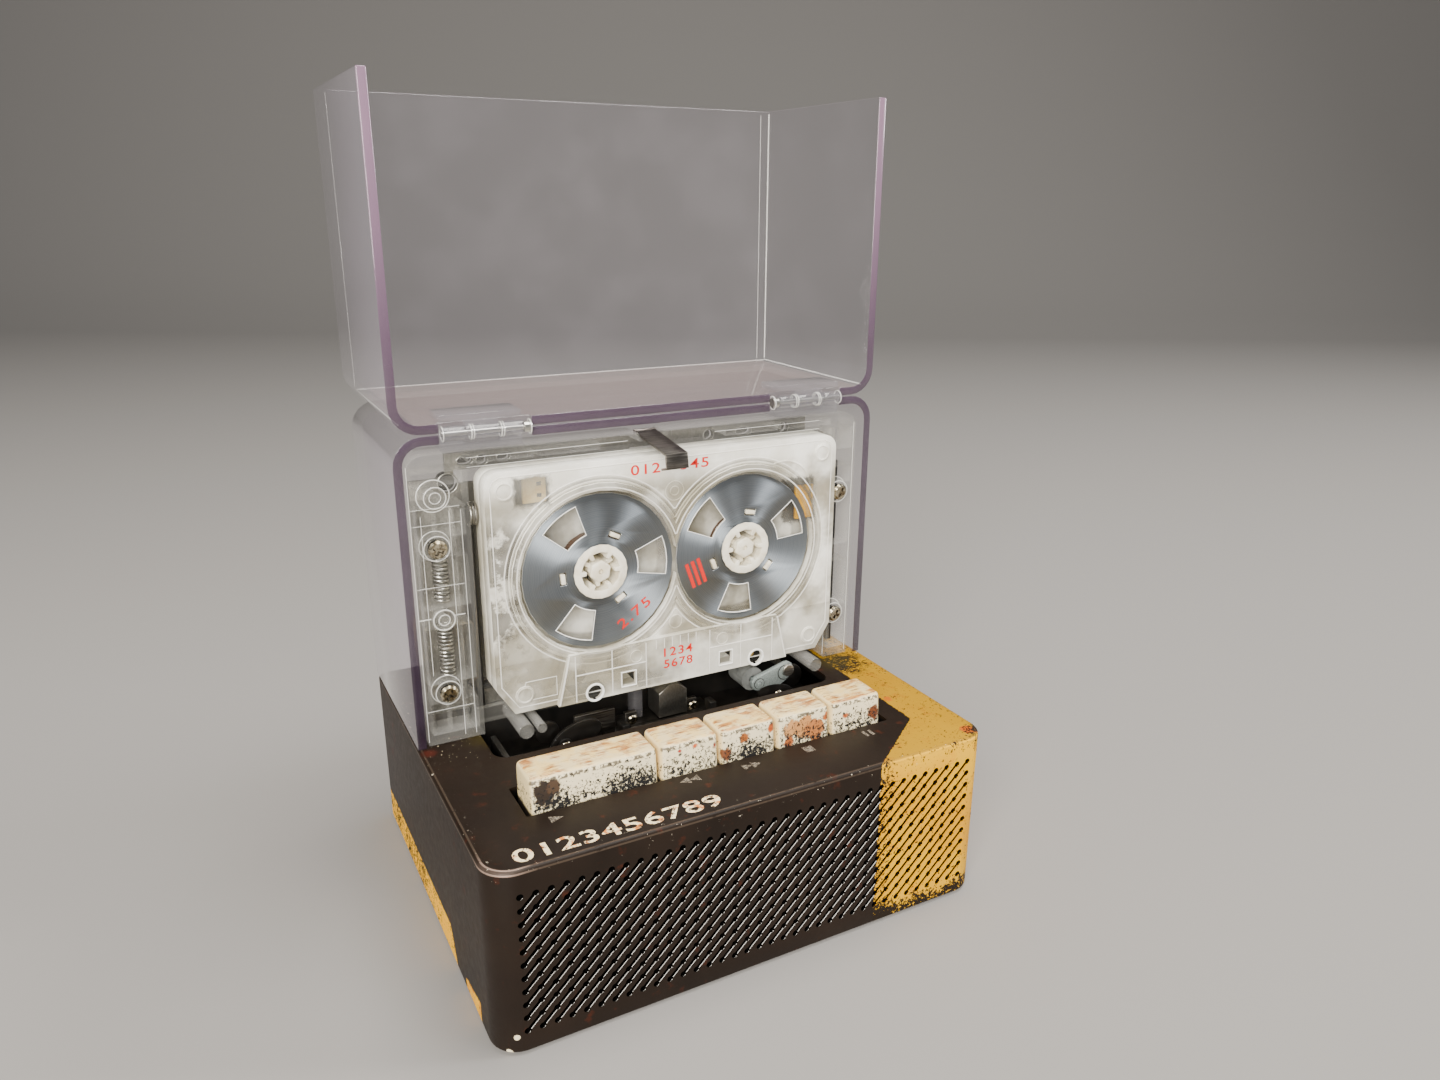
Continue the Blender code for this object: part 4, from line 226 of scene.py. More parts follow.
# %% Helper for finishes
class Finish(Net):
    """A material with its patterns laid in Object coordinates, in millimetres."""

    def __init__(self, name, colour, roughness=0.5, **sockets):
        self.material = bpy.data.materials.new(name)
        self.material.use_nodes = True
        super().__init__(self.material.node_tree, "ShaderNode")
        self.shader = self.tree.nodes["Principled BSDF"]
        self.body = Value(self, self.shader.outputs[0])
        self.set(Base_Color=colour, Roughness=roughness, **sockets)
        self.place = self.vector("SCALE", self.add("TexCoord", output="Object"), scale=1000.0)
        self.x, self.y, self.z = self.parts(self.place)

    def set(self, **sockets):
        """Feeds the shader's sockets, named as the shader names them."""
        for label, value in sockets.items():
            self.feed(self.shader.inputs[label.replace("_", " ")], value)

    def vector(self, operation, first, second=None, scale=None):
        inputs = {0: first, 1: second, "Scale": scale}
        inputs = {label: value for label, value in inputs.items() if value is not None}
        one_number = operation in ("LENGTH", "DISTANCE", "DOT_PRODUCT")
        return self.add("VectorMath", inputs, "Value" if one_number else 0, operation=operation)

    def noise(self, per_mm, detail=3.0, roughness=0.55, shift=0.0, stretch=(1, 1, 1)):
        where = self.add("Mapping", {"Vector": self.place, "Scale": stretch,
                                     "Location": (shift, shift / 2, shift / 3)})
        return self.add("TexNoise", {"Vector": where, "Scale": per_mm, "Detail": detail,
                                     "Roughness": roughness}, "Fac")

    def blot(self, centre, radius, soft=0.3, wobble=1.5, per_mm=0.6, shift=0.0):
        """A patch with a ragged edge round a point given in millimetres."""
        apart = self.vector("DISTANCE", self.place, centre)
        ragged = self.math("MULTIPLY_ADD", self.noise(per_mm, 4, 0.6, shift), wobble * 2, apart)
        return ragged.step(radius + wobble + soft, radius + wobble - soft)

    def facing(self, direction, low, high):
        """Where the surface looks along a direction."""
        normal = self.add("NewGeometry", output="Normal")
        return self.vector("DOT_PRODUCT", normal, direction).step(low, high)

    def bump(self, height, depth_mm, strength=1.0):
        self.set(Normal=self.add("Bump", {"Height": height, "Distance": depth_mm * MM,
                                          "Strength": strength}))

    def blend(self, share, first, second):
        return self.add("MixShader", {0: share, 1: first, 2: second})

    def end_with(self, surface):
        """Puts another shader than the plain one on the surface."""
        self.feed(self.tree.nodes["Material Output"].inputs["Surface"], surface)
        return self.material


floor_finish = Finish("pale_floor", shade(140, 137, 134), 0.85, Specular_IOR_Level=0.15)
floor.data.materials.append(floor_finish.material)

# %% [markdown]
# The base is painted: satin dark brown, with a worn yellow corner whose edge runs up the front and
# then slants back over the top, a yellow stripe along the foot of the left side and a small patch in
# front of it. The paint is one material that knows where it is. Along the rim run two thin pale
# lines, partly paint rubbed through to metal and partly a painted highlight. It has rusty smudges,
# the yellow is chipped down to black, and the grille's grooves get a painted highlight on their
# upper left wall and painted shade, near black, inside.

# %% Painted base finish
TOP, FRONT, SIDE = 46.8, -55.2, 66.7
BROWN = shade(40, 31, 24)


def base_paint():
    paint = Finish("worn_brown_and_yellow_paint", BROWN, 0.42, Specular_IOR_Level=0.2)
    noise, blot, facing = paint.noise, paint.blot, paint.facing
    x, y, z = paint.x, paint.y, paint.z
    wobble = (noise(0.9, 5, 0.7) - 0.5) * 1.6
    # the slanting edge of the yellow corner
    slant = paint.math("MULTIPLY_ADD", y, 1.329, 32.5 + 1.329 * 55.0)
    corner = (x + wobble + paint.math("MINIMUM", slant, 53.5) * -1).step(-0.12, 0.12)
    # the stripe and the patch on the left side
    on_left = x.step(-60.0, -60.4)
    behind = paint.math("MULTIPLY_ADD", z, -0.509, 22.4)
    stripe = on_left * (z + wobble).step(10.0, 9.7) * (y + behind + wobble).step(-0.15, 0.15)
    roof = paint.math("MULTIPLY_ADD", y, 0.18, 1.5)
    ragged_y = y + wobble
    patch = (on_left * (z + roof + wobble).step(0.2, -0.2) * ragged_y.step(-29.8, -30.1)
             * ragged_y.step(-42.6, -42.2))
    yellow = corner | (stripe | patch)
    # how near a point is to the rim, seen from above
    flat = paint.vector("ABSOLUTE", paint.add("CombineXYZ", {0: x, 1: y}))
    beyond = paint.vector("MAXIMUM", paint.vector("SUBTRACT", flat, (59.7, 48.2, 0)), (0, 0, 0))
    edge = paint.vector("LENGTH", beyond) - 7.0
    rim = edge.step(-1.5, -0.5) * z.step(45.6, 46.25)
    near_rim = edge.step(-3.5, -0.5) * z.step(42.5, 46.5)
    fine, broad, middle = noise(1.1, 6, 0.72, 7), noise(0.05, 3, 0.5, 3), noise(0.22, 4, 0.6, 11)
    # brown coat
    brown = broad.mix(shade(20, 14, 10), BROWN)
    brown = (middle.step(0.6, 0.72) * 0.45).mix(brown, shade(74, 34, 18))
    brown = (fine.step(0.60, 0.72) * 0.35).mix(brown, shade(14, 11, 9))
    # yellow coat with orange stains, and chips and cracks down to black. Painted shade makes the
    # yellow darker on top, where the light is strongest, and painted light makes it brighter on the
    # left side, where the light is weakest
    gold = broad.step(0.35, 0.65).mix(shade(206, 146, 0), shade(216, 162, 0))
    gold = (middle.step(0.55, 0.7) * 0.4).mix(gold, shade(200, 120, 0))
    # painted light: the yellow on the left side is painted brighter because that side gets less light
    gold = x.step(-40, -50).mix(gold, shade(255, 186, 0))
    # painted shade: the yellow that faces up is darker, against the strong light from above
    pale = middle.step(0.56, 0.72).mix(shade(138, 103, 0), shade(136, 92, 0))
    gold = (facing((0, 0, 1), 0.6, 0.9) * 0.75).mix(gold, pale)
    chips = (fine + near_rim * 0.03 + middle * 0.28).step(0.745, 0.765)
    knocked = blot((63.8, -51.8, 46.0), 3.4, 2.5, 1.6, 0.4) | blot((56, -2.5, TOP), 6.5, 4.0, 3.0, 0.3)
    foot = y.step(-14, 8) * z.step(46.0, 46.6) * 0.06
    right_foot = (z.step(8.0, 1.5) | x.step(64.5, 66.6) * y.step(-46, -52)) * x.step(0.0, 1.0)
    border = x.step(40.0, 32.5) * y.step(-54.5, -54.8)
    worn = (foot + knocked * 0.12 + on_left * y.step(-30.0, 20.0) * 0.1 + right_foot * 0.19
            + border * 0.10)
    chips = chips | (fine + worn + middle * 0.28).step(0.75, 0.77)
    bare = (blot((63.0, -51.0, 46.6), 2.0, 0.5, 1.4, 0.5, 9)
            | blot((54.9, -26.9, 46.75), 1.3, 0.5, 1.6, 0.5, 3) * 0.8)
    gold = (bare * 0.75).mix(gold, shade(178, 66, 10))
    gold = (patch * middle.step(0.42, 0.6) * 0.7).mix(gold, shade(206, 104, 0))
    cracks = (blot((57, -2.0, TOP), 7.0, 3.0, 2.5, 0.3, 7) * z.step(46.3, 46.6)
              * noise(0.5, 5, 0.72, 23).step(0.5, 0.53))
    coat = yellow.mix(brown, (chips | cracks).mix(gold, shade(36, 28, 20)))
    # rim: two thin pale lines, partly paint rubbed through to metal and partly a painted highlight,
    # which widen and turn to copper at the front left corner
    upper_line = edge.step(-1.15, -0.95) * edge.step(-0.55, -0.75) * z.step(46.5, 46.7)
    lower_line = z.step(45.75, 45.9) * z.step(46.3, 46.1) * edge.step(-0.4, -0.1)
    near_corner = blot((-62.5, -51.5, TOP), 5.5, 4.0, 2.0, 0.2)
    worn_and_highlit_rim = ((upper_line | lower_line | rim * near_corner * 0.1)
              * noise(0.3, 5, 0.7, 19).step(0.3, 0.5) * (1.0 - yellow * 0.8))
    copper = near_corner.mix(shade(120, 104, 90), shade(190, 162, 146))
    coat = (worn_and_highlit_rim * (0.45 + near_corner * 0.5)).mix(coat, copper)
    white_chips = near_rim * noise(0.8, 5, 0.75, 29).step(0.66, 0.68)
    coat = white_chips.mix(coat, shade(236, 224, 200))
    # tiny cream specks on the top, near the tower's foot
    specks = (noise(1.6, 2, 0.5, 41).step(0.72, 0.74) * z.step(46.6, 46.75) * y.step(-12, -4)
              * x.step(-30, -40))
    coat = specks.mix(coat, shade(220, 205, 170))
    # stains by the tower, red-brown at its left foot and olive on both sides, and cream low in front
    coat = (blot((-64.5, 1.5, TOP), 1.7, 1.2, 1.2) * 0.6).mix(coat, shade(76, 32, 22))
    olive = blot((-49, 3.5, 47), 5.0, 3.0, 3.0) | blot((56, 1.0, 47), 5.5, 3.0, 3.0, shift=5)
    coat = (olive * 0.55).mix(coat, shade(60, 52, 20))
    cream = (blot((-62.4, -54.9, 5.0), 0.75, 0.12, 0.35, 0.8)
             | blot((-63.6, -53.6, 1.0), 0.8, 0.15, 0.8, 1.0, 4))
    coat = cream.mix(coat, shade(240, 226, 190))
    # inside the grooves: painted shade, near black, and a painted highlight on the upper left walls
    depth = y - FRONT
    inside = (depth.step(0.10, 0.16) * y.step(-50.0, -51.0) * abs(x).step(60.85, 60.75)
              * z.step(42.6, 42.3) * z.step(4.6, 4.9))
    straight = facing((-0.707, 0, 0.707), 0.985, 0.997) * depth.step(0.36, 0.2)
    crescent = facing((-0.5, 0, 0.87), 0.8, 0.95) * depth.step(0.2, 0.1)
    groove_highlight = inside * (straight | crescent) * noise(0.7, 3, 0.6, 13).step(0.25, 0.4)
    coat = inside.mix(coat, yellow.mix(shade(6, 5, 4), shade(22, 14, 2)))
    coat = groove_highlight.mix(coat, yellow.mix(shade(255, 252, 246), shade(255, 176, 0)))
    # inside the shell, behind its openings, the faces are painted near black as shade
    coat = (edge.step(-1.9, -2.2) * z.step(46.2, 45.9)).mix(coat, shade(24, 22, 21))
    gloss = 0.36 + noise(0.5, 4, 0.6, 5) * 0.2 + yellow * 0.06 + chips * yellow * 0.25
    paint.set(Base_Color=coat, Roughness=gloss, Metallic=worn_and_highlit_rim * 0.75 | groove_highlight * 0.15)
    paint.bump(noise(3.0, 3, 0.6, 2) * 0.35 + chips * yellow * -1.2 + white_chips * -1.0, 0.05, 0.6)
    return paint.material


base_finish = base_paint()
print("base finish has", len(base_finish.node_tree.nodes), "nodes")

# %% [markdown]
# New pieces need the same few steps each time: put a mesh in the scene with its finish, say which
# body it moves with, and say which CAD node it stands for. Several meshes can make one piece.

# %% Helper for pieces
def mesh_from(build, name="mesh"):
    """Ends a bmesh with its normals outward and returns the mesh."""
    bmesh.ops.recalc_face_normals(build, faces=build.faces[:])
    mesh = bpy.data.meshes.new(name)
    build.to_mesh(mesh)
    build.free()
    return mesh


def gathered(meshes, name="gathered"):
    build = bmesh.new()
    for mesh in meshes:
        build.from_mesh(mesh)
    return mesh_from(build, name)


def add_piece(name, shape, finish, body="base", stands_for=(), slot=None, smooth_angle=32):
    """Puts a finished mesh, or a list of them, in the scene and ties it to its body."""
    mesh = gathered(shape, name) if isinstance(shape, list) else shape
    mesh.materials.clear()
    mesh.materials.append(finish)
    for face in mesh.polygons:
        face.use_smooth = True
        face.material_index = 0
    mesh.set_sharp_from_angle(angle=math.radians(smooth_angle))
    piece = show(name, mesh)
    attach(piece, body)
    if stands_for:
        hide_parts(*stands_for)
    print(name, "has", len(mesh.polygons), "faces")
    return piece


# %% [markdown]
# Shapes start as outlines in millimetres: a rectangle with round corners or an oval. An outline is
# drawn out into a block, chosen edges are rounded, and Booleans cut and join.

# %% Helpers for shapes
def round_corners(x, y, radii, steps=8):
    """A rectangle with a radius for each corner, from the lower left one round to the upper left."""
    corners = ((x[0], y[0], 1, 1), (x[1], y[0], -1, 1), (x[1], y[1], -1, -1), (x[0], y[1], 1, -1))
    points = []
    for index, (corner, radius) in enumerate(zip(corners, radii)):
        middle = (corner[0] + corner[2] * radius, corner[1] + corner[3] * radius)
        count = steps if radius else 0
        for step in range(count + 1):
            angle = math.pi + (index + (step / count if count else 0)) * math.pi / 2
            points.append((middle[0] + radius * math.cos(angle), middle[1] + radius * math.sin(angle)))
    return points


def oval(x, z, half_x, half_z=None, turn=0.0, count=28):
    """An oval that may be turned, or a circle."""
    points = []
    for step in range(count):
        angle = math.tau * step / count
        first, second = half_x * math.cos(angle), (half_z or half_x) * math.sin(angle)
        points.append((x + first * math.cos(turn) - second * math.sin(turn),
                       z + first * math.sin(turn) + second * math.cos(turn)))
    return points


def prism(outline, axis, low, high, name="prism"):
    """A closed block: an outline drawn out along an axis."""
    build = bmesh.new()
    rings = []
    for along in (low, high):
        ring = []
        for first, second in outline:
            place = [first, second]
            place.insert("XYZ".index(axis), along)
            ring.append(build.verts.new(Vector(place) * MM))
        rings.append(ring)
    near, far = rings
    build.faces.new(near)
    build.faces.new(far[::-1])
    for index in range(len(outline)):
        after = (index + 1) % len(outline)
        build.faces.new((near[index], far[index], far[after], near[after]))
    return mesh_from(build, name)


def block(x, y, z, name="block"):
    """A box between limits."""
    return prism([(x[0], y[0]), (x[1], y[0]), (x[1], y[1]), (x[0], y[1])], "Z", z[0], z[1], name)


def bevel_edges(build, edges, width_mm, segments):
    bmesh.ops.bevel(build, geom=edges, offset=width_mm * MM, segments=segments, profile=0.5,
                    affect="EDGES", clamp_overlap=True)


def bevel_mesh(mesh, width_mm, segments, keep_edge=lambda a, b: True):
    """Rounds the edges that keep_edge picks by their two ends, or all of them."""
    build = bmesh.new()
    build.from_mesh(mesh)
    bevel_edges(build, [edge for edge in build.edges
                        if keep_edge(*(point.co / MM for point in edge.verts))], width_mm, segments)
    return mesh_from(build, mesh.name)


def carve(mesh, cutters, operation="DIFFERENCE"):
    """Takes the cutters away from a mesh, or adds them, and returns the result."""
    body = show("body", mesh)
    holders = [show("cutter", cutter) for cutter in cutters]
    for holder in holders:
        modifier = body.modifiers.new("carve", "BOOLEAN")
        modifier.operation = operation
        modifier.solver = "EXACT"
        modifier.object = holder
    result = baked(body)
    for holder in holders:
        bpy.data.objects.remove(holder, do_unlink=True)
    return result


# %% [markdown]
# What repeats is made by Geometry Nodes. A recipe is a tree with named inputs, and growing it means
# running it on a holder object and keeping the plain mesh that comes out.

# %% Helper for Geometry Nodes
SOCKETS = {float: "Float", int: "Int", Vector: "Vector", bpy.types.Material: "Material"}
TO_FRONT = (math.pi / 2, 0, 0)


class Recipe(Net):
    """A Geometry Nodes tree with named inputs, built step by step."""

    def __init__(self, name, **inputs):
        super().__init__(bpy.data.node_groups.new(name, "GeometryNodeTree"), "GeometryNode")
        self.name, self.values = name, {}
        self.socket("Geometry", "Geometry", "INPUT")
        for label, value in inputs.items():
            kind = next(kind for kind in SOCKETS if isinstance(value, kind))
            self.values[self.socket(label, SOCKETS[kind], "INPUT")] = value
        self.socket("Geometry", "Geometry", "OUTPUT")
        self.given = {socket.name: Value(self, socket)
                      for socket in self.tree.nodes.new("NodeGroupInput").outputs}

    def socket(self, label, kind, way):
        made = self.tree.interface.new_socket(label, in_out=way, socket_type="NodeSocket" + kind)
        return made.identifier

    def vector(self, x=0.0, y=0.0, z=0.0):
        return self.add("CombineXYZ", {0: x, 1: y, 2: z})

    def move(self, shape, by=(0, 0, 0), turn=(0, 0, 0)):
        return self.add("Transform", {"Geometry": shape, "Translation": by, "Rotation": turn})

    def repeat(self, points, shape, **selection):
        """Sets a shape on every point, or on the selected ones."""
        return self.add("InstanceOnPoints", {"Points": points, "Instance": shape, **selection})

    def join(self, *shapes):
        joined = self.add("JoinGeometry")
        for shape in shapes:
            self.feed(joined.socket.node.inputs[0], shape)
        return joined

    def cut(self, shape, cutters, **more):
        return self.add("MeshBoolean", {"Mesh 1": shape, "Mesh 2": cutters, **more},
                        operation="DIFFERENCE", solver="EXACT")

    def grow(self, shape, start=None):
        """Ends the tree with Realize Instances and Set Material, runs it and returns the mesh."""
        solid = self.add("RealizeInstances", {0: shape})
        painted = self.add("SetMaterial", {"Geometry": solid, "Material": self.given["Finish"]})
        self.feed(self.tree.nodes.new("NodeGroupOutput").inputs[0], painted)
        holder = show(self.name, start or bpy.data.meshes.new(self.name))
        modifier = holder.modifiers.new(self.name, "NODES")
        modifier.node_group = self.tree
        for identifier, value in self.values.items():
            modifier[identifier] = value
        return baked(holder)


# %% [markdown]
# The base is one moulded shell with round front corners and a rounded rim; the rim's fine double
# line is painted on, partly as wear and partly as a painted highlight. It could be carved from the
# CAD shape, but its grille there is only shallow grooves, so the shell is drawn again here:
# outline, rounded rim, hollow inside, key slot, well for the transport and the socket's hole.

# %% Base shell
def base_shell(foot=0.8):
    outline = round_corners((-SIDE, SIDE), (FRONT, -FRONT), (7, 7, 2.5, 2.5), 14)
    shell = prism(outline, "Z", foot, TOP, "base_shell")
    shell = bevel_mesh(shell, 0.8, 3, lambda a, b: min(a.z, b.z) > TOP - 0.01)
    shell = bevel_mesh(shell, 0.5, 2, lambda a, b: max(a.z, b.z) < foot + 0.01)
    room = prism(round_corners((-64.3, 64.3), (-52.8, 52.8), (4.6, 4.6, 0, 0)), "Z", -2, 44.4)
    slot = prism(round_corners((-52.0, 47.6), (-36.9, -23.4), (0.6,) * 4, 3), "Z", 43, 49)
    well = prism(round_corners((-50.6, 48.1), (-9.5, 36), (4, 4, 0.5, 0.5)), "Z", 43, 49)
    hole = prism(round_corners((20.2, 29.8), (7.1, 11.1), (1.4,) * 4, 4), "Y", 50, 58)
    return carve(shell, [room, slot, well, hole])


# %% [markdown]
# The grille is a square lattice of 36 by 11 round holes, and a narrow groove runs from each hole up
# to the next one on the diagonal. A picture or a bump would look flat from the side, so Geometry
# Nodes put a hole cutter on every lattice point and a groove cutter on every point that has a
# neighbour up and to the right, and take them all from the shell.

# %% Grille
PITCH, COLUMNS, ROWS, LOWEST_ROW = 3.42, 36, 11, 6.2
grille = Recipe("base_with_grille", Columns=COLUMNS, Rows=ROWS, Pitch=PITCH * MM, Radius=0.8 * MM,
                Groove=1.04 * MM, Depth=1.7 * MM, Finish=base_finish,
                Centre=Vector((0, FRONT * MM, (LOWEST_ROW + (ROWS // 2) * PITCH) * MM)))
given = grille.given
pitch, centre, double_depth = given["Pitch"], given["Centre"], given["Depth"] * 2
width, height = ((given[count] - 1) * pitch for count in ("Columns", "Rows"))
lattice = grille.add("MeshGrid", {"Size X": width, "Size Y": height, "Vertices X": given["Columns"],
                                  "Vertices Y": given["Rows"]})
lattice = grille.move(lattice, centre, TO_FRONT)
hole = grille.add("MeshCylinder", {"Vertices": 14, "Radius": given["Radius"], "Depth": double_depth})
holes = grille.repeat(lattice, grille.move(hole, turn=TO_FRONT))
half = pitch * 0.5
groove = grille.add("MeshCube", {"Size": grille.vector(
    pitch * math.sqrt(2), double_depth * 0.9, given["Groove"])})
groove = grille.move(groove, grille.vector(half, 0.0, half), (0, -math.pi / 4, 0))
where = grille.parts(grille.add("InputPosition"))
has_right = grille.math("LESS_THAN", where[0], width * 0.5 - half)
has_above = grille.math("LESS_THAN", where[2] - grille.parts(centre)[2], height * 0.5 - half)
grooves = grille.repeat(lattice, groove, Selection=has_right * has_above)
carved = grille.cut(given["Geometry"], grille.join(holes, grooves))
add_piece("base_with_grille", grille.grow(carved, base_shell()), base_finish, "base", ["base_housing"],
          "housing")

# %% [markdown]
# The five keys are cast caps on arms that turn on a shaft inside. Years of thumbs have worn them:
# cream paint with an orange wood-like grain on top, black spatter that thickens towards the lower
# front, and brown and orange patches. One finish does all five, because it reads the place on the
# row, and each patch is a ragged blot at its own point.

# %% Key finish
KEY_PATCHES = (  # centre, radius, tone
    ((-46.9, -35.7, 50.9), 3.1, (46, 36, 27)), ((-44.6, -35.7, 51.8), 1.7, (70, 54, 40)),
    ((-9.0, -35.3, 52.6), 0.5, (196, 84, 34)), ((-13.2, -35.4, 52.4), 0.3, (160, 40, 30)),
    ((-3.6, -35.5, 51.6), 0.6, (130, 44, 30)), ((4.6, -35.6, 51.6), 1.3, (150, 86, 40)),
    ((12.4, -35.4, 52.4), 0.9, (170, 80, 32)), ((-0.9, -35.7, 48.6), 1.6, (112, 66, 38)),
    ((18.6, -35.7, 50.6), 2.2, (190, 136, 84)), ((22.4, -35.7, 50.2), 3.0, (184, 128, 76)),
    ((25.4, -35.7, 48.8), 2.8, (172, 108, 60)), ((17.4, -35.8, 47.6), 1.4, (166, 92, 48)),
    ((29.0, -35.5, 51.8), 1.0, (170, 88, 40)), ((43.8, -35.8, 49.4), 1.8, (108, 60, 34)),
    ((35.0, -35.6, 50.6), 0.7, (180, 92, 44)))


def key_paint():
    paint = Finish("worn_cream_key_paint", shade(238, 231, 208), 0.5)
    noise, blot, facing, z = paint.noise, paint.blot, paint.facing, paint.z
    front = facing((0, -1, 0), 0.55, 0.85)
    top = facing((0, 0, 1), 0.6, 0.9)
    broad = noise(0.16, 4, 0.6, 2)
    coat = broad.mix(shade(216, 190, 132), shade(240, 218, 168))
    coat = (front * 0.75).mix(coat, shade(232, 220, 184))
    coat = (top * noise(0.3, 3, 0.5, 21).step(0.4, 0.6) * 0.5).mix(coat, shade(240, 198, 100))
    # the grain on top: broad streaks, and thin dark veins
    grain = noise(0.75, 6, 0.65, 9, (0.18, 1.0, 1.0))
    streaks = top * grain.step(0.42, 0.58) * broad.step(0.42, 0.58)
    coat = (streaks * 0.85).mix(coat, shade(172, 104, 24))
    veins = noise(2.4, 5, 0.6, 14, (0.12, 1.0, 1.0)).step(0.52, 0.6)
    coat = (top * veins * broad.step(0.35, 0.55) * 0.75).mix(coat, shade(112, 56, 14))
    for index, (centre, radius, tone) in enumerate(KEY_PATCHES):
        ragged = 0.7 + radius * 0.6
        outline = blot(centre, radius + 0.16, 0.25, ragged, 0.75, index * 3.0)
        coat = (outline * 0.5).mix(coat, shade(92, 56, 34))
        coat = blot(centre, radius, 0.3, ragged, 0.75, index * 3.0).mix(coat, shade(*tone))
    # black spatter, thicker low on the front, on the left sides and round three places
    low = front * z.step(54.0, 46.6)
    thick = blot((-26, -36, 47), 5.5, 2.5, 2.0, 0.4) | (
        blot((6.5, -36, 47.4), 3.2, 1.5, 1.5, 0.4) | blot((-44, -36, 46.8), 3.0, 1.5, 1.5, 0.4))
    spatter = noise(0.8, 6, 0.8, 31) * 0.6 + noise(1.7, 4, 0.7, 37) * 0.4
    sides = facing((-1, 0, 0), 0.7, 0.9) * z.step(53.5, 49.0) * 0.1
    black = (spatter + low * 0.07 + thick * 0.05 + front * 0.07 + sides).step(0.636, 0.65)
    coat = black.mix(coat, shade(16, 12, 9))
    # thin broken cracks along the caps' upper front edge, and dark dots on top
    brink = (z.step(52.9, 53.3) * z.step(54.2, 53.9) * paint.y.step(-34.0, -34.6)
             * noise(0.9, 4, 0.7, 61).step(0.48, 0.52))
    coat = (brink * 0.85).mix(coat, shade(46, 36, 28))
    coat = (top * noise(1.9, 3, 0.5, 55).step(0.735, 0.745)).mix(coat, shade(96, 62, 42))
    # painted shade: below the base's top, down in the key slot, the keys are darker
    coat = z.step(46.2, 45.2).mix(coat, shade(60, 52, 44))
    paint.set(Base_Color=coat, Roughness=0.38 + black * 0.3 + broad * 0.15)
    paint.bump(black * -1.0 + noise(2.0) * 0.25, 0.12, 0.8)
    return paint.material


key_finish = key_paint()

# %% [markdown]
# A key cap is a block whose front leans back a little, and every upper edge and corner is rounded
# with five facets, so that it catches the light as a soft line. The arm and its barrel are joined to
# it with Booleans, because they are one casting.

# %% Keys
SHAFT = (-8.0, 41.5)


def limits(node):
    """A CAD node's box, in millimetres."""
    return [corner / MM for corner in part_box(node)]


def key_mesh(node, inset=3.2):
    low, high = limits(node)
    profile = [(-36.0, 43.2), (-35.1, 54.6), (-24.45, 54.6), (-24.0, 43.2)]
    cap = prism(profile, "X", low.x, high.x, node)
    cap = bevel_mesh(cap, 1.25, 5, lambda a, b: max(a.z, b.z) > 54.5)
    left, right = low.x + inset, high.x - inset
    arm = block((left, right), (-32.8, SHAFT[0]), (40.4, 43.8))
    barrel = prism(oval(*SHAFT, 2.6, count=24), "X", left, right)
    joined = carve(cap, [arm, barrel], "UNION")
    return carve(joined, [prism(oval(*SHAFT, 1.5, count=24), "X", low.x, high.x)])


for node in ("key_play", "key_rewind", "key_forward", "key_stop", "key_pause"):
    add_piece(node + "_cap", key_mesh(node), key_finish, node + "_body", [node], "key")

# %% [markdown]
# Clear acrylic is easy to overdo. Here it is a thin tinted see-through shader under a sharp gloss
# that grows at grazing angles and sits on the outer faces only, with a little haze. Thin edges of
# the real sheets look purple, because light travels along the sheet to them, so faces that point
# out of an edge get a denser purple coat. Rays pass almost straight through sheets this thin, so
# nothing is bent.

# %% Clear finishes
def clear_sheet(name, tint, haze, haze_colour, edge=None, gloss=0.03, streak=0.0):
    """See-through plastic. edge is a function that gives the share and colour of the dense edges."""
    sheet = Finish(name, haze_colour, 0.16)
    through = sheet.add("BsdfTransparent", {"Color": tint})
    shine = sheet.add("BsdfGlossy", {"Color": (1, 1, 1), "Roughness": gloss})
    outer = 1.0 - sheet.add("NewGeometry", output="Backfacing")
    clear = sheet.blend(sheet.add("Fresnel", {"IOR": 1.47}) * outer, through, shine)
    share = haze
    if streak:
        share = haze + sheet.noise(0.05, 4, 0.6, 4).step(0.4, 0.75) * streak
    if edge:
        edge_share, edge_colour = edge(sheet)
        share = sheet.math("MAXIMUM", share, edge_share)
        sheet.set(Base_Color=edge_share.step(0.0, 0.3).mix(haze_colour, edge_colour))
    return sheet.end_with(sheet.blend(share, clear, sheet.body))


def purple_edges(sheet):
    """Front rims, and the lid's upper rim: dark purple low down, pinkish and paler high up."""
    facing, x, y, z = sheet.facing, sheet.x, sheet.y, sheet.z
    rim = facing((0, -1, 0), 0.35, 0.75) * y.step(3.75, 3.55)
    top = facing((0, 0, 1), 0.5, 0.8) * z.step(203.2, 203.4)
    tone = z.step(60, 128).mix(shade(22, 12, 23), shade(50, 37, 50))
    tone = z.step(118, 200).mix(tone, shade(132, 104, 124))
    tone = (sheet.noise(0.08, 3, 0.5, 8) * 0.35).mix(tone, shade(100, 86, 106))
    # painted sheen: the outer walls that face left get a pale lilac coat
    sides = facing((-1, 0, 0), 0.8, 0.97) * x.step(-66.0, -66.4)
    tone = sides.mix(tone, shade(214, 204, 216))
    level = facing((0, 0, 1), 0.8, 0.95) | facing((0, 0, -1), 0.8, 0.95)
    lid_floor = level * z.step(126.3, 126.45) * z.step(129.2, 129.0)
    tone = lid_floor.mix(tone, shade(150, 126, 114))
    return (rim * 0.85 | top * 0.16) | (sides * 0.13 | lid_floor * 0.2), tone


def milky_sides(sheet):
    """Ribs and bosses seen along the plastic look milky."""
    flat = sheet.facing((0, -1, 0), 0.8, 0.95) | sheet.facing((0, 1, 0), 0.8, 0.95)
    return (1.0 - flat) * 0.13, shade(240, 238, 230)


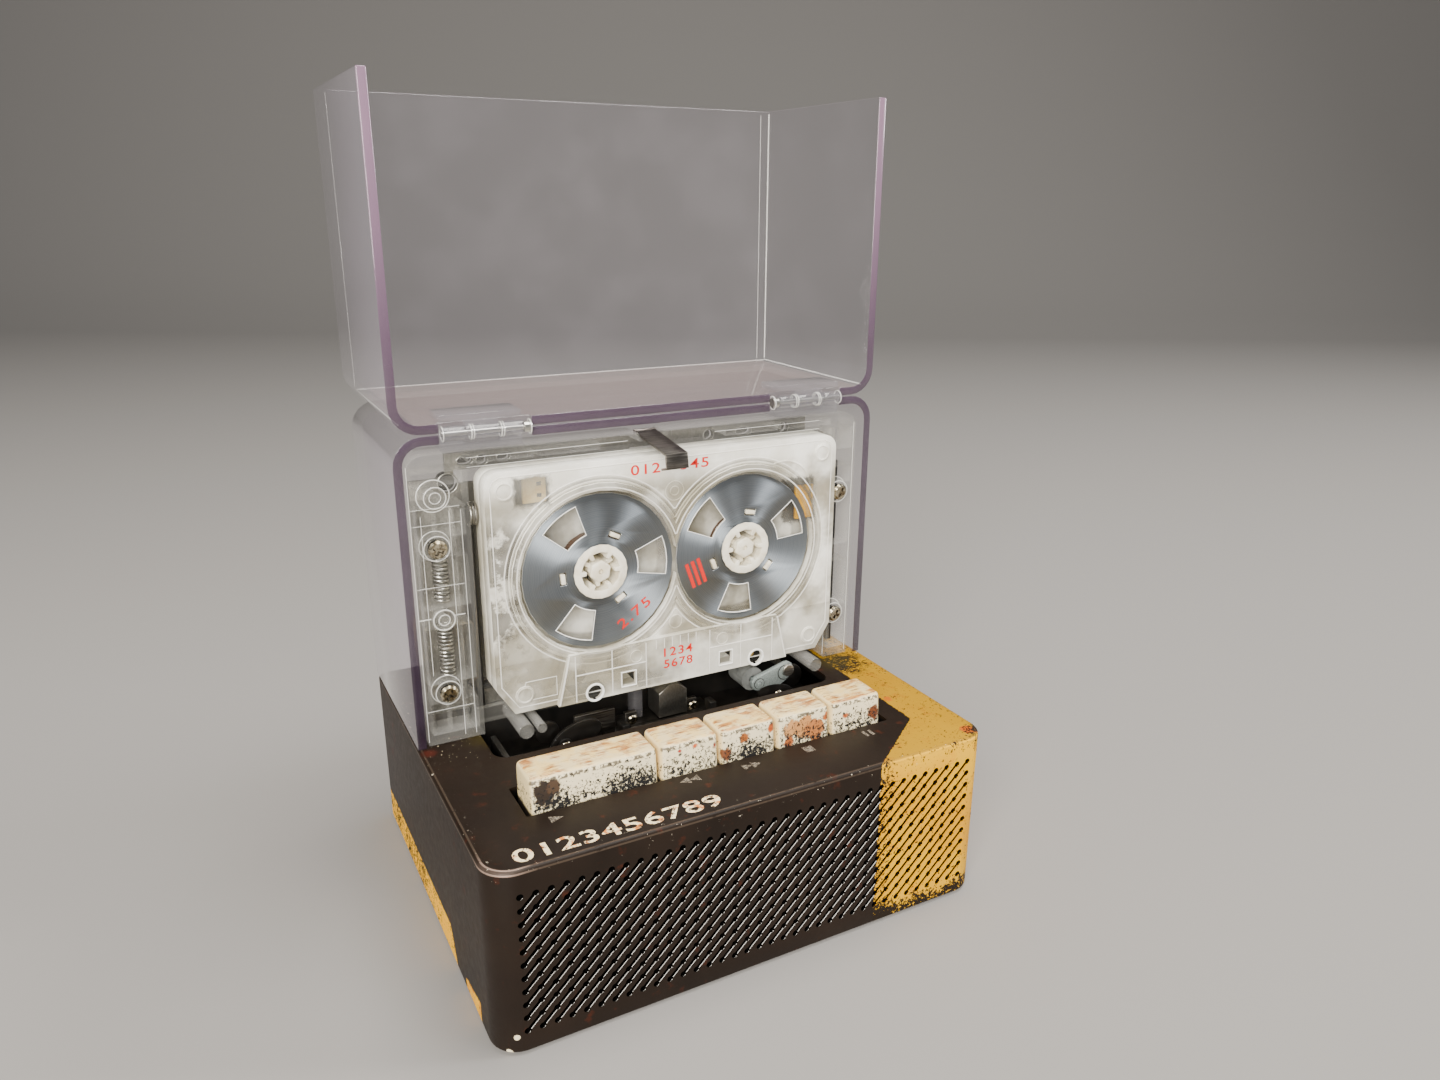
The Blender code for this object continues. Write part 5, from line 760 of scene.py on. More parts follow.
acrylic_finish = clear_sheet("clear_acrylic", (0.952, 0.945, 0.955), 0.02, shade(205, 198, 208),
                             purple_edges, streak=0.015)
hinge_finish = clear_sheet("clear_hinge_plastic", (0.9, 0.9, 0.91), 0.06, shade(215, 212, 218),
                           gloss=0.08)
edge_finish = clear_sheet("milky_edge", (0.97, 0.97, 0.96), 0.36, shade(246, 245, 240), gloss=0.05)
frame_finish = clear_sheet("clear_moulding", (0.975, 0.975, 0.965), 0.03, shade(232, 230, 224),
                           milky_sides, gloss=0.04)

# %% [markdown]
# A hard CAD edge gives no highlight. A copy of each clear solid is merged, its flat triangles are
# dissolved, and every sharp edge gets a narrow two-step bevel, which draws the bright line that a
# polished edge has.

# %% Softened copies
def softened(node, width_mm, sharp=28):
    """A copy of a CAD node's mesh with its sharp edges rounded."""
    build = bmesh.new()
    build.from_mesh(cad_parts[node].data)
    bmesh.ops.remove_doubles(build, verts=build.verts[:], dist=0.000002)
    bmesh.ops.dissolve_limit(build, angle_limit=math.radians(1.5), verts=build.verts[:],
                             edges=build.edges[:])
    bevel_edges(build, [edge for edge in build.edges if len(edge.link_faces) == 2
                        and edge.calc_face_angle(0) > math.radians(sharp)], width_mm, 2)
    mesh = bpy.data.meshes.new(node)
    build.to_mesh(mesh)
    build.free()
    return mesh


def soften_nodes(rows):
    """Rows give a node, the piece's name, the bevel's width, the finish, the body and the slot."""
    for node, name, width_mm, finish, body, slot, *sharp in rows:
        add_piece(name, softened(node, width_mm, *sharp), finish, body, [node], slot)


soften_nodes((("tower_shell", "clear_tower", 0.3, acrylic_finish, "base", "clear"),
              ("lid_shell", "clear_lid", 0.3, acrylic_finish, "lid", "clear"),
              ("transport_frame", "clear_frame", 0.15, frame_finish, "base", "frame")))
for side in ("left", "right"):
    for part, leaf, body in (("tower", "lower", "base"), ("lid", "upper", "lid")):
        soften_nodes([(f"hinge_{side}_{part}", f"hinge_{side}_{leaf}_leaf", 0.15, hinge_finish, body,
                       "clear")])

# %% [markdown]
# The columns of the frame are stiffened by thin upright ribs. Geometry Nodes set a thin plate on a
# short line of points in each column.

# %% Column ribs
for name, count, first_x, spacing, low, high in (("left_column_ribs", 3, -61.1, 4.3, 48.4, 107.6),
                                                 ("right_column_ribs", 2, 56.3, 2.4, 48.4, 106.0)):
    ribs = Recipe(name, Count=count, Start=Vector((first_x * MM, 0.0102, (low + high) / 2 * MM)),
                  Spacing=spacing * MM, Height=(high - low) * MM, Finish=frame_finish)
    given = ribs.given
    line = ribs.add("MeshLine", {"Count": given["Count"], "Start Location": given["Start"],
                                 "Offset": ribs.vector(given["Spacing"])})
    plate = ribs.add("MeshCube", {"Size": ribs.vector(0.0005, 0.0036, given["Height"])})
    add_piece(name, ribs.grow(ribs.repeat(line, plate)), frame_finish)

# %% [markdown]
# The steel parts share a few finishes: bright plated steel with fine brushing, a darker plate for the
# head bridge and the clip, grey zinc for the roller arm, and turned brass for the flywheel.

# %% Metal finishes
def brushed_metal(name, colour, dark, roughness, stretch=(0.06, 1, 1), metallic=1.0):
    metal = Finish(name, colour, roughness, Metallic=metallic)
    lines = metal.noise(2.2, 4, 0.6, 3, stretch)
    patina = metal.noise(0.12, 4, 0.6, 17).step(0.5, 0.75) * 0.5
    metal.set(Base_Color=patina.mix(lines.step(0.3, 0.7).mix(dark, colour), dark),
              Roughness=roughness - 0.06 + lines * 0.14)
    metal.bump(lines, 0.02, 0.4)
    return metal.material


def screw_metal():
    """Nickel with painted shade: dark where a face turns sideways, as in the cross and round the rim."""
    metal = Finish("nickel_screw", shade(176, 164, 140), 0.24, Metallic=1.0)
    spots = metal.noise(1.4, 4, 0.6).step(0.35, 0.65).mix(shade(120, 108, 86), shade(206, 196, 172))
    metal.set(Base_Color=metal.facing((0, -1, 0), 0.3, 0.62).mix(shade(34, 28, 20), spots))
    return metal.material


steel_finish = brushed_metal("plated_steel", shade(204, 202, 196), shade(150, 148, 142), 0.3)
dark_steel_finish = brushed_metal("dark_plated_steel", shade(136, 131, 124), shade(84, 80, 75), 0.3)
zinc_finish = brushed_metal("zinc_grey_arm", shade(150, 159, 157), shade(118, 128, 126), 0.36,
                            (1, 1, 1), 0.45)
brass_finish = brushed_metal("turned_brass", shade(214, 186, 122), shade(156, 126, 74), 0.28,
                             (1, 0.1, 1))
chassis_finish = brushed_metal("chassis_steel", shade(158, 155, 148), shade(136, 133, 127), 0.34,
                               (1, 1, 0.5))
nickel_finish = screw_metal()

# %% [markdown]
# Cross-head screws hold the frame and the head bridge. One recipe makes a screw: a low domed head
# with a cross cut out of it and a plain shank. It is set on points, so each group of screws is one
# mesh on the body that carries it.

# %% Screws
def screws(name, places, radius, height, length, front_y):
    """Screws whose heads look to the front, on points given as (x, z) in millimetres."""
    points = bpy.data.meshes.new(name)
    points.from_pydata([(x * MM, front_y * MM, z * MM) for x, z in places], [], [])
    screw = Recipe(name, Radius=radius * MM, Height=height * MM, Length=length * MM,
                   Finish=nickel_finish)
    radius, height, length = (screw.given[label] for label in ("Radius", "Height", "Length"))
    rim_depth, dome_depth = height * 0.55, height * 0.45
    rim = screw.add("MeshCylinder", {"Vertices": 24, "Radius": radius, "Depth": rim_depth})
    rim = screw.move(rim, screw.vector(0.0, height - rim_depth * 0.5), TO_FRONT)
    dome = screw.add("MeshCone", {"Vertices": 24, "Side Segments": 3, "Depth": dome_depth,
                                  "Radius Top": radius * 0.74, "Radius Bottom": radius})
    dome = screw.move(dome, screw.vector(0.0, dome_depth), TO_FRONT)
    cross = []
    for wide, high in ((1.2, 0.34), (0.34, 1.2)):
        size = screw.vector(radius * wide, height * 1.1, radius * high)
        cross.append(screw.move(screw.add("MeshCube", {"Size": size}), turn=(0, 0.5, 0)))
    head = screw.cut(screw.join(rim, dome), screw.join(*cross), **{"Self Intersection": True})
    shank = screw.add("MeshCylinder", {"Vertices": 14, "Radius": radius * 0.43, "Depth": length})
    shank = screw.move(shank, screw.vector(0.0, height + length * 0.5), TO_FRONT)
    return screw.grow(screw.repeat(screw.given["Geometry"], screw.join(head, shank)), points)


FRAME_SCREWS = ((-57.9, 98.6), (-57.9, 60.8), (57.2, 98.6), (57.2, 61.0))
add_piece("frame_screws", screws("frame_screws", FRAME_SCREWS, 2.3, 1.4, 6.2, 2.7), nickel_finish,
          "base", ["screw_left_upper", "screw_left_lower", "screw_right_upper", "screw_right_lower"],
          "steel")
for node in ("head_screw_left", "head_screw_right", "bridge_screw"):
    low, high = limits(node)
    middle = ((low.x + high.x) / 2, (low.z + high.z) / 2)
    radius = (high.x - low.x) / 2
    shape = screws(node + "_cross", [middle], radius, radius * 0.6, high.y - low.y - radius * 0.6, low.y)
    add_piece(node + "_cross", shape, nickel_finish, "head_slide_body", [node], "steel")

# %% [markdown]
# Two coil springs stand in the left column and show as rows of bright dashes. Each is a helix that
# Geometry Nodes sweep with a round wire, a little fuller than the CAD spring that it stands for. A
# short torsion spring beside them lies along the other axis.

# %% Springs
def coil(name, turns, radius, wire, start, length, turn=None):
    """A spring that rises from a point, or runs to the right of it when it is turned."""
    spring = Recipe(name, Turns=float(turns), Radius=radius * MM, Wire=wire * MM, Length=length * MM,
                    Finish=steel_finish)
    given = spring.given
    helix = spring.add("CurveSpiral", {"Resolution": 18, "Rotations": given["Turns"],
                                       "Start Radius": given["Radius"], "End Radius": given["Radius"],
                                       "Height": given["Length"]})
    wire = spring.add("CurvePrimitiveCircle", {"Resolution": 8, "Radius": given["Wire"]})
    swept = spring.add("CurveToMesh", {"Curve": helix, "Profile Curve": wire, "Fill Caps": True})
    build = bmesh.new()
    build.from_mesh(spring.grow(swept))
    if turn:
        bmesh.ops.rotate(build, verts=build.verts[:], matrix=turn)
    bmesh.ops.translate(build, verts=build.verts[:], vec=Vector(start) * MM)
    return mesh_from(build, name)


for place, turns, low, high in (("upper", 11, 84.0, 95.3), ("lower", 13, 64.1, 77.4)):
    name = place + "_column_coil"
    add_piece(name, coil(name, turns, 1.7, 0.3, (-56.7, 8.4, low), high - low), steel_finish, "base",
              ["column_spring_" + place], "steel")
torsion = coil("torsion_coil", 3, 2.7, 0.34, (-49.0, 8.2, 105.0), -47.1 - -49.0,
               Matrix.Rotation(math.pi / 2, 3, "Y"))
add_piece("torsion_coil", torsion, chassis_finish)

# %% [markdown]
# The cassette's shell is frosted: cloudy white where the plastic is thick or rough, clearer in
# between, with bright milky edges. A see-through share is mixed with a soft white body, and a broad
# noise moves the share so that the haze is uneven. Faces that turn sideways are denser, and the
# shell is clear over the beige connector and the yellow cam.

# %% Cassette finishes
MIDDLE = 3.45
HUB_Z = 87.4
LEFT_HUB, RIGHT_HUB = (-17.8, HUB_Z), (24.7, HUB_Z)
HUBS = (("left", LEFT_HUB), ("right", RIGHT_HUB))


def frosted_shell(name, density, clear_spots):
    shell = Finish(name, shade(240, 236, 224), 0.3)
    noise, facing, x, z = shell.noise, shell.facing, shell.x, shell.z
    dull = (0.90, 0.89, 0.86)
    through = shell.add("BsdfTransparent", {"Color": dull})
    glow = shell.add("BsdfTranslucent", {"Color": (0.96, 0.95, 0.90)})
    body = shell.blend(0.06, shell.body, glow)
    faces = facing((0, -1, 0), 0.85, 0.98) | facing((0, 1, 0), 0.85, 0.98)
    haze = noise(0.045, 4, 0.55, 6).step(0.42, 0.58) | z.step(106, 113)
    left_strip = x.step(-35.0, -41.0) * z.step(64, 74) * z.step(106, 100)
    murky = left_strip * noise(0.14, 5, 0.66, 31).step(0.56, 0.46)
    fine = noise(0.11, 5, 0.62, 44).step(0.40, 0.66)
    tone = (haze * 0.6 + fine * 0.4).mix(shade(188, 181, 162), shade(255, 253, 244))
    tone = (murky * faces * 0.7).mix(tone, shade(112, 108, 100))
    # clearer round the reels' edges and over the low zone
    span = abs(x - MIDDLE) - 21.25
    out = shell.vector("LENGTH", shell.add("CombineXYZ", {0: span, 2: z - HUB_Z}))
    clearer = out.step(25.2, 24.6) * out.step(19.0, 20.0) | z.step(66.6, 66.2) * 0.6
    share = 0.96 + faces * (density - 0.96) + faces * haze * (0.94 - density)
    share = share * (1.0 - clearer * faces * 0.55) * (1.0 - murky * faces * 0.5)
    waver = (noise(0.35, 3) - 0.5) * 3.0
    spots = 0.0
    for middle_x, middle_z, half_x, half_z in clear_spots:
        beyond = (abs(x - middle_x) - half_x) | (abs(z - middle_z) - half_z)
        spots = shell.math("MAXIMUM", spots, (beyond + waver).step(0.7, -0.7))
    share = share * (1.0 - spots * 0.88)
    shell.feed(through.socket.node.inputs["Color"], spots.mix(dull, (1, 1, 1)))
    shell.set(Base_Color=tone)
    shell.bump(noise(1.8, 3, 0.6), 0.02, 0.35)
    return shell.end_with(shell.blend(share, through, body))


def milky_ring():
    ring = Finish("milky_ring", shade(250, 249, 244), 0.25)
    ring.set(Base_Color=ring.noise(0.2, 3).mix(shade(236, 234, 226), shade(255, 255, 252)))
    return ring.material


shell_finish = frosted_shell("frosted_cassette_front", 0.4, (
    (-34.9, 110.6, 4.6, 3.7), (42.3, 99.0, 4.6, 6.4)))
back_finish = frosted_shell("frosted_cassette_back", 0.62, (
    (-32.4, 109.2, 5.0, 4.2), (47.0, 96.5, 6.0, 7.0)))
ring_finish = milky_ring()
ridge_finish = clear_sheet("milky_ridge", (0.97, 0.96, 0.94), 0.62, shade(252, 250, 244), gloss=0.2)
soften_nodes((("cassette_front", "cassette_front_shell", 0.28, shell_finish, "cassette", "shell"),
              ("cassette_back", "cassette_back_shell", 0.2, back_finish, "cassette", "shell")))

# %% [markdown]
# Raised lines and rings on the shell: a figure-of-eight ridge round both windows, a ring at each
# screw, white collars round the round holes and frames round the square ones. Each is a path swept
# with a small round profile, because they all follow a line on one face. The rings round the windows
# are open between the hubs, so that the reels turn free of them.

# %% Helpers for lines
FACE, LOW_FACE = 0.9, -0.75


def ridge(path, radius_mm, closed=True):
    """A tube along points in millimetres, as a mesh."""
    curve = bpy.data.curves.new("ridge", "CURVE")
    curve.dimensions = "3D"
    curve.bevel_depth = radius_mm * MM
    curve.bevel_resolution = 2
    curve.use_fill_caps = True
    spline = curve.splines.new("POLY")
    spline.points.add(len(path) - 1)
    for point, place in zip(spline.points, path):
        point.co = (*(Vector(place) * MM), 1)
    spline.use_cyclic_u = closed
    return baked(show("ridge", curve))


def rod(start, end, radius_mm):
    return ridge([start, end], radius_mm, False)


def at_y(y, outline):
    """An outline in x and z, stood up as a path."""
    return [(x, y, z) for x, z in outline]


def arc(hub, radius, start, end, count):
    return [(hub[0] + radius * math.cos(math.radians(start + (end - start) * step / count)),
             hub[1] + radius * math.sin(math.radians(start + (end - start) * step / count)))
            for step in range(count + 1)]


def hoop(x, z, radius, y, wire, count=32):
    """A closed ring that faces the front."""
    return ridge(at_y(y, oval(x, z, radius, count=count)), wire)


# %% Ridges and rings
eight = arc(LEFT_HUB, 25.3, 34, 326, 48) + arc(RIGHT_HUB, 25.3, 214, 506, 48)
bright, lines = [ridge(at_y(FACE, eight), 0.2)], []
for hub, turn in ((LEFT_HUB, 0), (RIGHT_HUB, 180)):
    bright.append(ridge(at_y(0.3, arc(hub, 22.3, turn + 19, turn + 341, 54)), 0.2, False))
    lines.append(ridge(at_y(FACE, arc(hub, 24.0, turn + 29, turn + 331, 52)), 0.3, False))
add_piece("window_rings", bright, ridge_finish, "cassette", slot="shell")
lines.append(ridge(at_y(FACE, arc((36.5, 101.5), 9.0, -10, 110, 18)), 0.28, False))
for x, z in ((-41.95, 111.6), (48.85, 111.6), (-39.45, 57.4), (46.35, 57.4)):
    lines.append(hoop(x, z, 2.0, 0.5, 0.26, 24))
for x, z, radius, y in ((MIDDLE, 106.2, 2.6, FACE), (MIDDLE, 106.2, 1.2, FACE),
                        (MIDDLE, 69.6, 1.9, FACE), (-9, 62.5, 1.7, LOW_FACE),
                        (17, 62.5, 1.7, LOW_FACE)):
    lines.append(hoop(x, z, radius, y, 0.16, 24))
add_piece("cassette_ridges", lines, shell_finish, "cassette", slot="shell")

collars = []
for sign in (-1, 1):
    collars.append(hoop(MIDDLE + sign * 24.4, 54.6, 2.35, LOW_FACE + 0.1, 0.34, 28))
    left, right = MIDDLE + sign * 14.7 - 2.1, MIDDLE + sign * 14.7 + 2.1
    square = [(left, 54.4), (right, 54.4), (right, 58.6), (left, 58.6)]
    collars.append(ridge(at_y(LOW_FACE + 0.1, square), 0.26))
add_piece("hole_collars", collars, ring_finish, "cassette", slot="shell")

ribs = [rod((MIDDLE + offset, LOW_FACE, 63.4), (MIDDLE + offset, LOW_FACE, 66.1), 0.14)
        for offset in (-6.6, -4.2, -1.8, 0.6, 3.0, 5.4)]
for sign in (-1, 1):
    for low, high, wire in (((34.2, 53.0), (31.2, 65.8), 0.26), ((29.6, 53.0), (29.6, 65.8), 0.18),
                            ((19.4, 53.0), (19.4, 65.8), 0.18), ((9.6, 53.0), (9.6, 65.8), 0.18),
                            ((29.6, 60.4), (9.6, 60.4), 0.18)):
        ribs.append(rod(*((MIDDLE + sign * x, LOW_FACE, z) for x, z in (low, high)), wire))
border = [(-41.0, 54.1), (47.9, 54.1), (52.2, 60.6), (52.2, 112.6), (51.3, 114.2), (49.8, 115.0),
          (-42.9, 115.0), (-44.5, 114.2), (-45.3, 112.6), (-45.3, 60.6)]
blank_plate = [(-40.6, 55.6), (-30.8, 55.6), (-30.8, 60.8), (-39.0, 60.8)]
ribs += [ridge(at_y(FACE, border), 0.16), ridge(at_y(FACE, blank_plate), 0.13)]
add_piece("cassette_ribs", ribs, ridge_finish, "cassette", slot="shell")

# %% [markdown]
# The reels' faces are turned aluminium, blue-grey with a fan of bright light. The fan comes from the
# turning marks: they run round the centre, so the gloss is stretched outwards, across them. The
# shader's tangent is worked out from the place on the reel, and the light does the rest.

# %% Reel finish and faces
REEL_TURN = {"left": 125, "right": 141}


def turned_aluminium(name, hub):
    metal = Finish(name, shade(124, 130, 136), 0.55, Metallic=1.0, Anisotropic=0.95)
    out = metal.vector("SUBTRACT", metal.place, (hub[0], 0, hub[1]))
    flat = metal.vector("MULTIPLY", out, (1, 0, 1))
    radius = metal.vector("LENGTH", flat)
    marks = metal.add("TexNoise", {"W": radius * 6.0, "Scale": 1.0, "Detail": 4.0}, "Fac",
                      noise_dimensions="1D")
    tone = marks.step(0.35, 0.65).mix(shade(134, 142, 150), shade(156, 163, 170))
    # faces that turn away from the front, the disc's rim and window walls, are a painted highlight
    metal.set(Base_Color=metal.facing((0, -1, 0), 0.9, 0.6).mix(tone, shade(244, 246, 246)),
              Tangent=metal.vector("NORMALIZE", flat),
              Roughness=metal.math("MULTIPLY_ADD", marks, 0.06, 0.5))
    return metal.material


for side, hub in HUBS:
    front_y = limits(f"reel_{side}_face")[0].y
    # the white lines round each window are a painted highlight on its cut edges
    outlines = []
    for index in range(3):
        start, end = (REEL_TURN[side] + index * 120 + half for half in (-16.5, 16.5))
        path = arc(hub, 18.9, start, end, 6) + arc(hub, 10.7, start, end, 4)[::-1]
        outlines.append(ridge(at_y(front_y, path), 0.13))
    add_piece(f"reel_{side}_window_edges", outlines, ring_finish, f"reel_{side}", slot="reel")
    soften_nodes([(f"reel_{side}_face", f"reel_{side}_disc", 0.14,
                   turned_aluminium(f"turned_reel_{side}", hub), f"reel_{side}", "reel", 40)])

# %% [markdown]
# Ivory plastic makes the hubs and the spindles. Its tone warms in soft random patches, and three
# small white tabs hold each reel's face through its slots.

# %% Hubs, spindles and tabs
def moulded(name, colour, shadow, roughness=0.38, grain=0.06):
    plastic = Finish(name, colour, roughness)
    plastic.set(Base_Color=plastic.noise(0.3, 3).step(0.4, 0.7).mix(colour, shadow),
                Roughness=roughness - 0.05 + plastic.noise(1.2) * 0.1)
    plastic.bump(plastic.noise(3.5, 2), grain, 0.3)
    return plastic.material


ivory_finish = moulded("ivory_plastic", shade(240, 234, 216), shade(222, 212, 188))
for side, hub in HUBS:
    soften_nodes([
        (f"reel_{side}_hub", f"reel_{side}_core", 0.16, ivory_finish, f"reel_{side}", "ivory"),
        (f"spindle_{side}", f"spindle_{side}_turned", 0.12, ivory_finish, f"spindle_{side}_body",
         "ivory")])
    boss = bevel_mesh(prism(oval(*hub, 3.1, turn=math.radians(20), count=6), "Y", 0.55, 1.9), 0.5, 3)
    boss = carve(boss, [prism(oval(*hub, 0.7, count=16), "Y", 0.2, 1.7)])
    add_piece(f"spindle_{side}_boss", boss, ivory_finish, f"spindle_{side}_body", slot="ivory")
    tabs = []
    for index in range(3):
        angle = math.radians(REEL_TURN[side] + index * 120 - 61)
        tab = bevel_mesh(block((9.45, 10.55), (0.95, 2.4), (-1.35, 1.35)), 0.15, 2)
        for vertex in tab.vertices:
            x, y, z = vertex.co / MM
            vertex.co = Vector((hub[0] + x * math.cos(angle) - z * math.sin(angle), y,
                                hub[1] + x * math.sin(angle) + z * math.cos(angle))) * MM
        tabs.append(tab)
    add_piece(f"reel_{side}_tabs", tabs, ivory_finish, f"reel_{side}", slot="ivory")

# %% [markdown]
# The clear frame's moulded detail: a collar round each screw, a hollow peg with a wide foot at the
# top left, a cross-shaped boss between the springs, and the upright edges of the columns. Light
# gathers in such edges, so they are swept in a milky, half clear white.

# %% Frame collars and edges
LEFT_AXIS, PEG_Z, BOSS_Z = -57.9, 111.6, 81.0
COLUMN_FACE, COLUMN_EDGE = 4.3, 4.35
collars = []
for x, z in FRAME_SCREWS:
    collars += [hoop(x, z, 3.1, 4.2, 0.15), hoop(x - 0.15, z + 0.25, 3.7, 6.0, 0.12)]
for z, radius, y, wire, count in (
        (PEG_Z, 3.9, 4.4, 0.16, 32), (PEG_Z, 2.6, 2.3, 0.14, 32), (PEG_Z, 1.35, 2.25, 0.11, 32),
        (BOSS_Z, 2.6, 2.3, 0.18, 32), (BOSS_Z, 1.35, 2.25, 0.14, 24)):
    collars.append(hoop(LEFT_AXIS, z, radius, y, wire, count))
for side in (-1, 1):
    collars.append(rod(*((LEFT_AXIS + side * reach, COLUMN_FACE, BOSS_Z) for reach in (2.7, 5.6)), 0.16))
edges = [rod((x, COLUMN_EDGE, low), (x, COLUMN_EDGE, high), 0.09) for x, low, high in (
    (-63.6, 48.2, 119.0), (-61.2, 66.0, 107.0), (-54.4, 48.4, 107.6), (-51.6, 48.2, 107.6),
    (54.0, 48.2, 107.0), (61.8, 48.2, 118.4))]
edges += [rod((low, COLUMN_EDGE, z), (high, COLUMN_EDGE, z), 0.08) for low, high, z in (
    (-63.4, -51.8, 88.9), (-63.4, -51.8, 104.6), (-63.4, -51.8, 56.4), (-63.4, -51.8, 108.6),
    (-49.5, -8.0, 117.6), (17.0, 50.0, 117.6), (-49.5, -8.0, 119.9), (17.0, 50.0, 119.9))]
add_piece("frame_collars", collars, edge_finish, slot="frame")
add_piece("frame_edges", edges, edge_finish, slot="frame")

# %% [markdown]
# The lid's inner corners are moulded round and gather light too: a line along the back of its floor,
# two up the back right corner, one up the back left, and one from front to back in each lower corner.

# %% Lid corner lines
corner_lines = [rod(start, end, wire) for start, end, wire in (
    ((-64.0, 59.2, 128.7), (64.0, 59.2, 128.7), 0.17), ((64.2, 59.0, 129.4), (64.2, 59.0, 203.0), 0.2),
    ((61.6, 59.4, 129.4), (61.6, 59.4, 202.6), 0.09), ((-64.2, 59.0, 129.4), (-64.2, 59.0, 203.0), 0.1),
    ((64.2, 5.4, 128.9), (64.2, 59.0, 128.9), 0.22), ((-64.2, 5.4, 128.9), (-64.2, 59.0, 128.9), 0.16))]
add_piece("lid_corner_lines", corner_lines, edge_finish, "lid", slot="clear")

# %% [markdown]
# The clear hinges: each has three round knuckles on a pin. A milky ring at both ends of every knuckle
# is a painted highlight on its rim, and each ring rides with the leaf that the knuckle belongs to.

# %% Knuckle rims
for side in ("left", "right"):
    low, high = limits(f"hinge_{side}_pin")
    knuckle = oval((low.y + high.y) / 2, (low.z + high.z) / 2, 1.75, count=24)
    across = (high.x - low.x) / 3
    for leaf, body, starts in (("tower", "base", (0, 2)), ("lid", "lid", (1,))):
        rims = [ridge([(x, y, z) for y, z in knuckle], 0.16) for start in starts
                for x in (low.x + start * across + 0.3, low.x + (start + 1) * across - 0.3)]
        add_piece(f"hinge_{side}_{leaf}_rims", rims, edge_finish, body, slot="clear")

# %% [markdown]
# The pieces that stay as the CAD made them get their own finishes: black and grey mouldings, rubber,
# the paper cone, the battery's film, the green board and the wound tape, each with its own grain.

# %% Other finishes
black_finish = moulded("black_moulding", shade(24, 22, 20), shade(14, 13, 12), 0.34, 0.05)
cover_finish = moulded("grained_cover", shade(40, 38, 36), shade(30, 29, 28), 0.6, 0.12)
beige_finish = moulded("beige_connector", shade(255, 226, 158), shade(240, 200, 120))
yellow_finish = moulded("yellow_cam", shade(255, 190, 0), shade(236, 160, 0))
rubber_finish = moulded("black_rubber", shade(34, 33, 32), shade(24, 24, 24), 0.75, 0.1)
roller_finish = moulded("grey_rubber_roller", shade(110, 112, 110), shade(88, 90, 88), 0.6, 0.08)
battery_finish = moulded("battery_film", shade(86, 108, 160), shade(66, 86, 134), 0.3, 0.03)
paper_finish = moulded("pressed_paper", shade(52, 50, 48), shade(36, 35, 34), 0.85, 0.2)
board_finish = moulded("green_board", shade(40, 104, 66), shade(28, 80, 50), 0.4, 0.05)


def wound_tape():
    tape = Finish("wound_tape", shade(70, 48, 36), 0.25)
    lines = tape.noise(5.0, 3, 0.6, 2, (1, 0.05, 1))
    tape.set(Base_Color=lines.mix(shade(54, 36, 27), shade(92, 66, 50)))
    tape.bump(lines, 0.02, 0.4)
    return tape.material


for finish, nodes in (
        (cover_finish, ["bottom_cover"]), (battery_finish, ["battery_pack"]),
        (board_finish, ["main_board"]), (paper_finish, ["speaker_cone"]),
        (steel_finish, ["power_socket", "speaker_basket", "key_shaft", "hinge_left_pin",
                        "hinge_right_pin", "motor", "flywheel_bracket"]),
        (dark_steel_finish, ["speaker_magnet"]),
        (brass_finish, ["flywheel", "capstan_bush", "motor_pulley"]),
        (rubber_finish, ["drive_belt", "idler_wheel"]), (roller_finish, ["pinch_roller"]),
        (wound_tape(), ["tape_left", "tape_right"])):
    for node in nodes:
        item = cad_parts[node]
        if not item.material_slots:
            item.data.materials.append(finish)
        for place in item.material_slots:
            place.material = finish

# %% [markdown]
# The chassis plate gets its stamped openings, each with a ring of brighter steel round it as a
# painted highlight, and the small solids of the transport get their softened copies.

# %% Chassis and transport
OPENINGS = ((-52.0, 111.8, 2.3, 2.3), (-47.4, 117.0, 1.9, 1.1), (-43.2, 116.8, 1.3, 1.3),
            (-37.7, 117.0, 1.6, 1.0), (20.0, 116.9, 1.4, 1.4), (31.0, 116.9, 2.4, 1.1),
            (44.0, 116.8, 1.5, 1.5), (56.0, 112.4, 2.0, 2.0))
openings = [prism(oval(*opening, count=20), "Y", 12.0, 19.0) for opening in OPENINGS]
openings.append(block((-60.4, -57.6), (12.0, 19.0), (113.4, 117.4)))
add_piece("chassis_plate", carve(softened("steel_chassis", 0.12), openings), chassis_finish, "base",
          ["steel_chassis"], "steel")
add_piece("opening_rims", [ridge(at_y(13.72, oval(x, z, half_x + 0.2, half_z + 0.2)), 0.18)
                           for x, z, half_x, half_z in OPENINGS], steel_finish, slot="steel")
soften_nodes((
    ("deck_block", "deck_moulding", 0.35, black_finish, "base", "black"),
    ("head_bridge", "head_bridge_plate", 0.15, dark_steel_finish, "head_slide_body", "dark_steel"),
    ("play_head", "play_head_case", 0.18, chassis_finish, "head_slide_body", "steel"),
    ("tape_guide", "tape_guide_fork", 0.15, hinge_finish, "head_slide_body", "ivory"),
    ("pinch_arm", "pinch_lever", 0.15, zinc_finish, "pinch_arm_body", "grey"),
    ("pinch_pivot", "pinch_pivot_stud", 0.12, steel_finish, "base", "steel"),
    ("tape_clip", "clip_spring", 0.12, dark_steel_finish, "clip", "dark_steel"),
    ("signal_connector", "beige_socket", 0.2, beige_finish, "base", "beige"),
    ("auto_stop_cam", "stop_cam", 0.25, yellow_finish, "base", "yellow")))
low, high = limits("signal_connector")
add_piece("connector_slots", [block((low.x + 3.7, low.x + 4.9), (low.y - 0.05, low.y + 0.1),
                                    (z - 0.5, z + 0.5)) for z in (high.z - 1.9, low.z + 1.9)],
          black_finish, slot="beige")

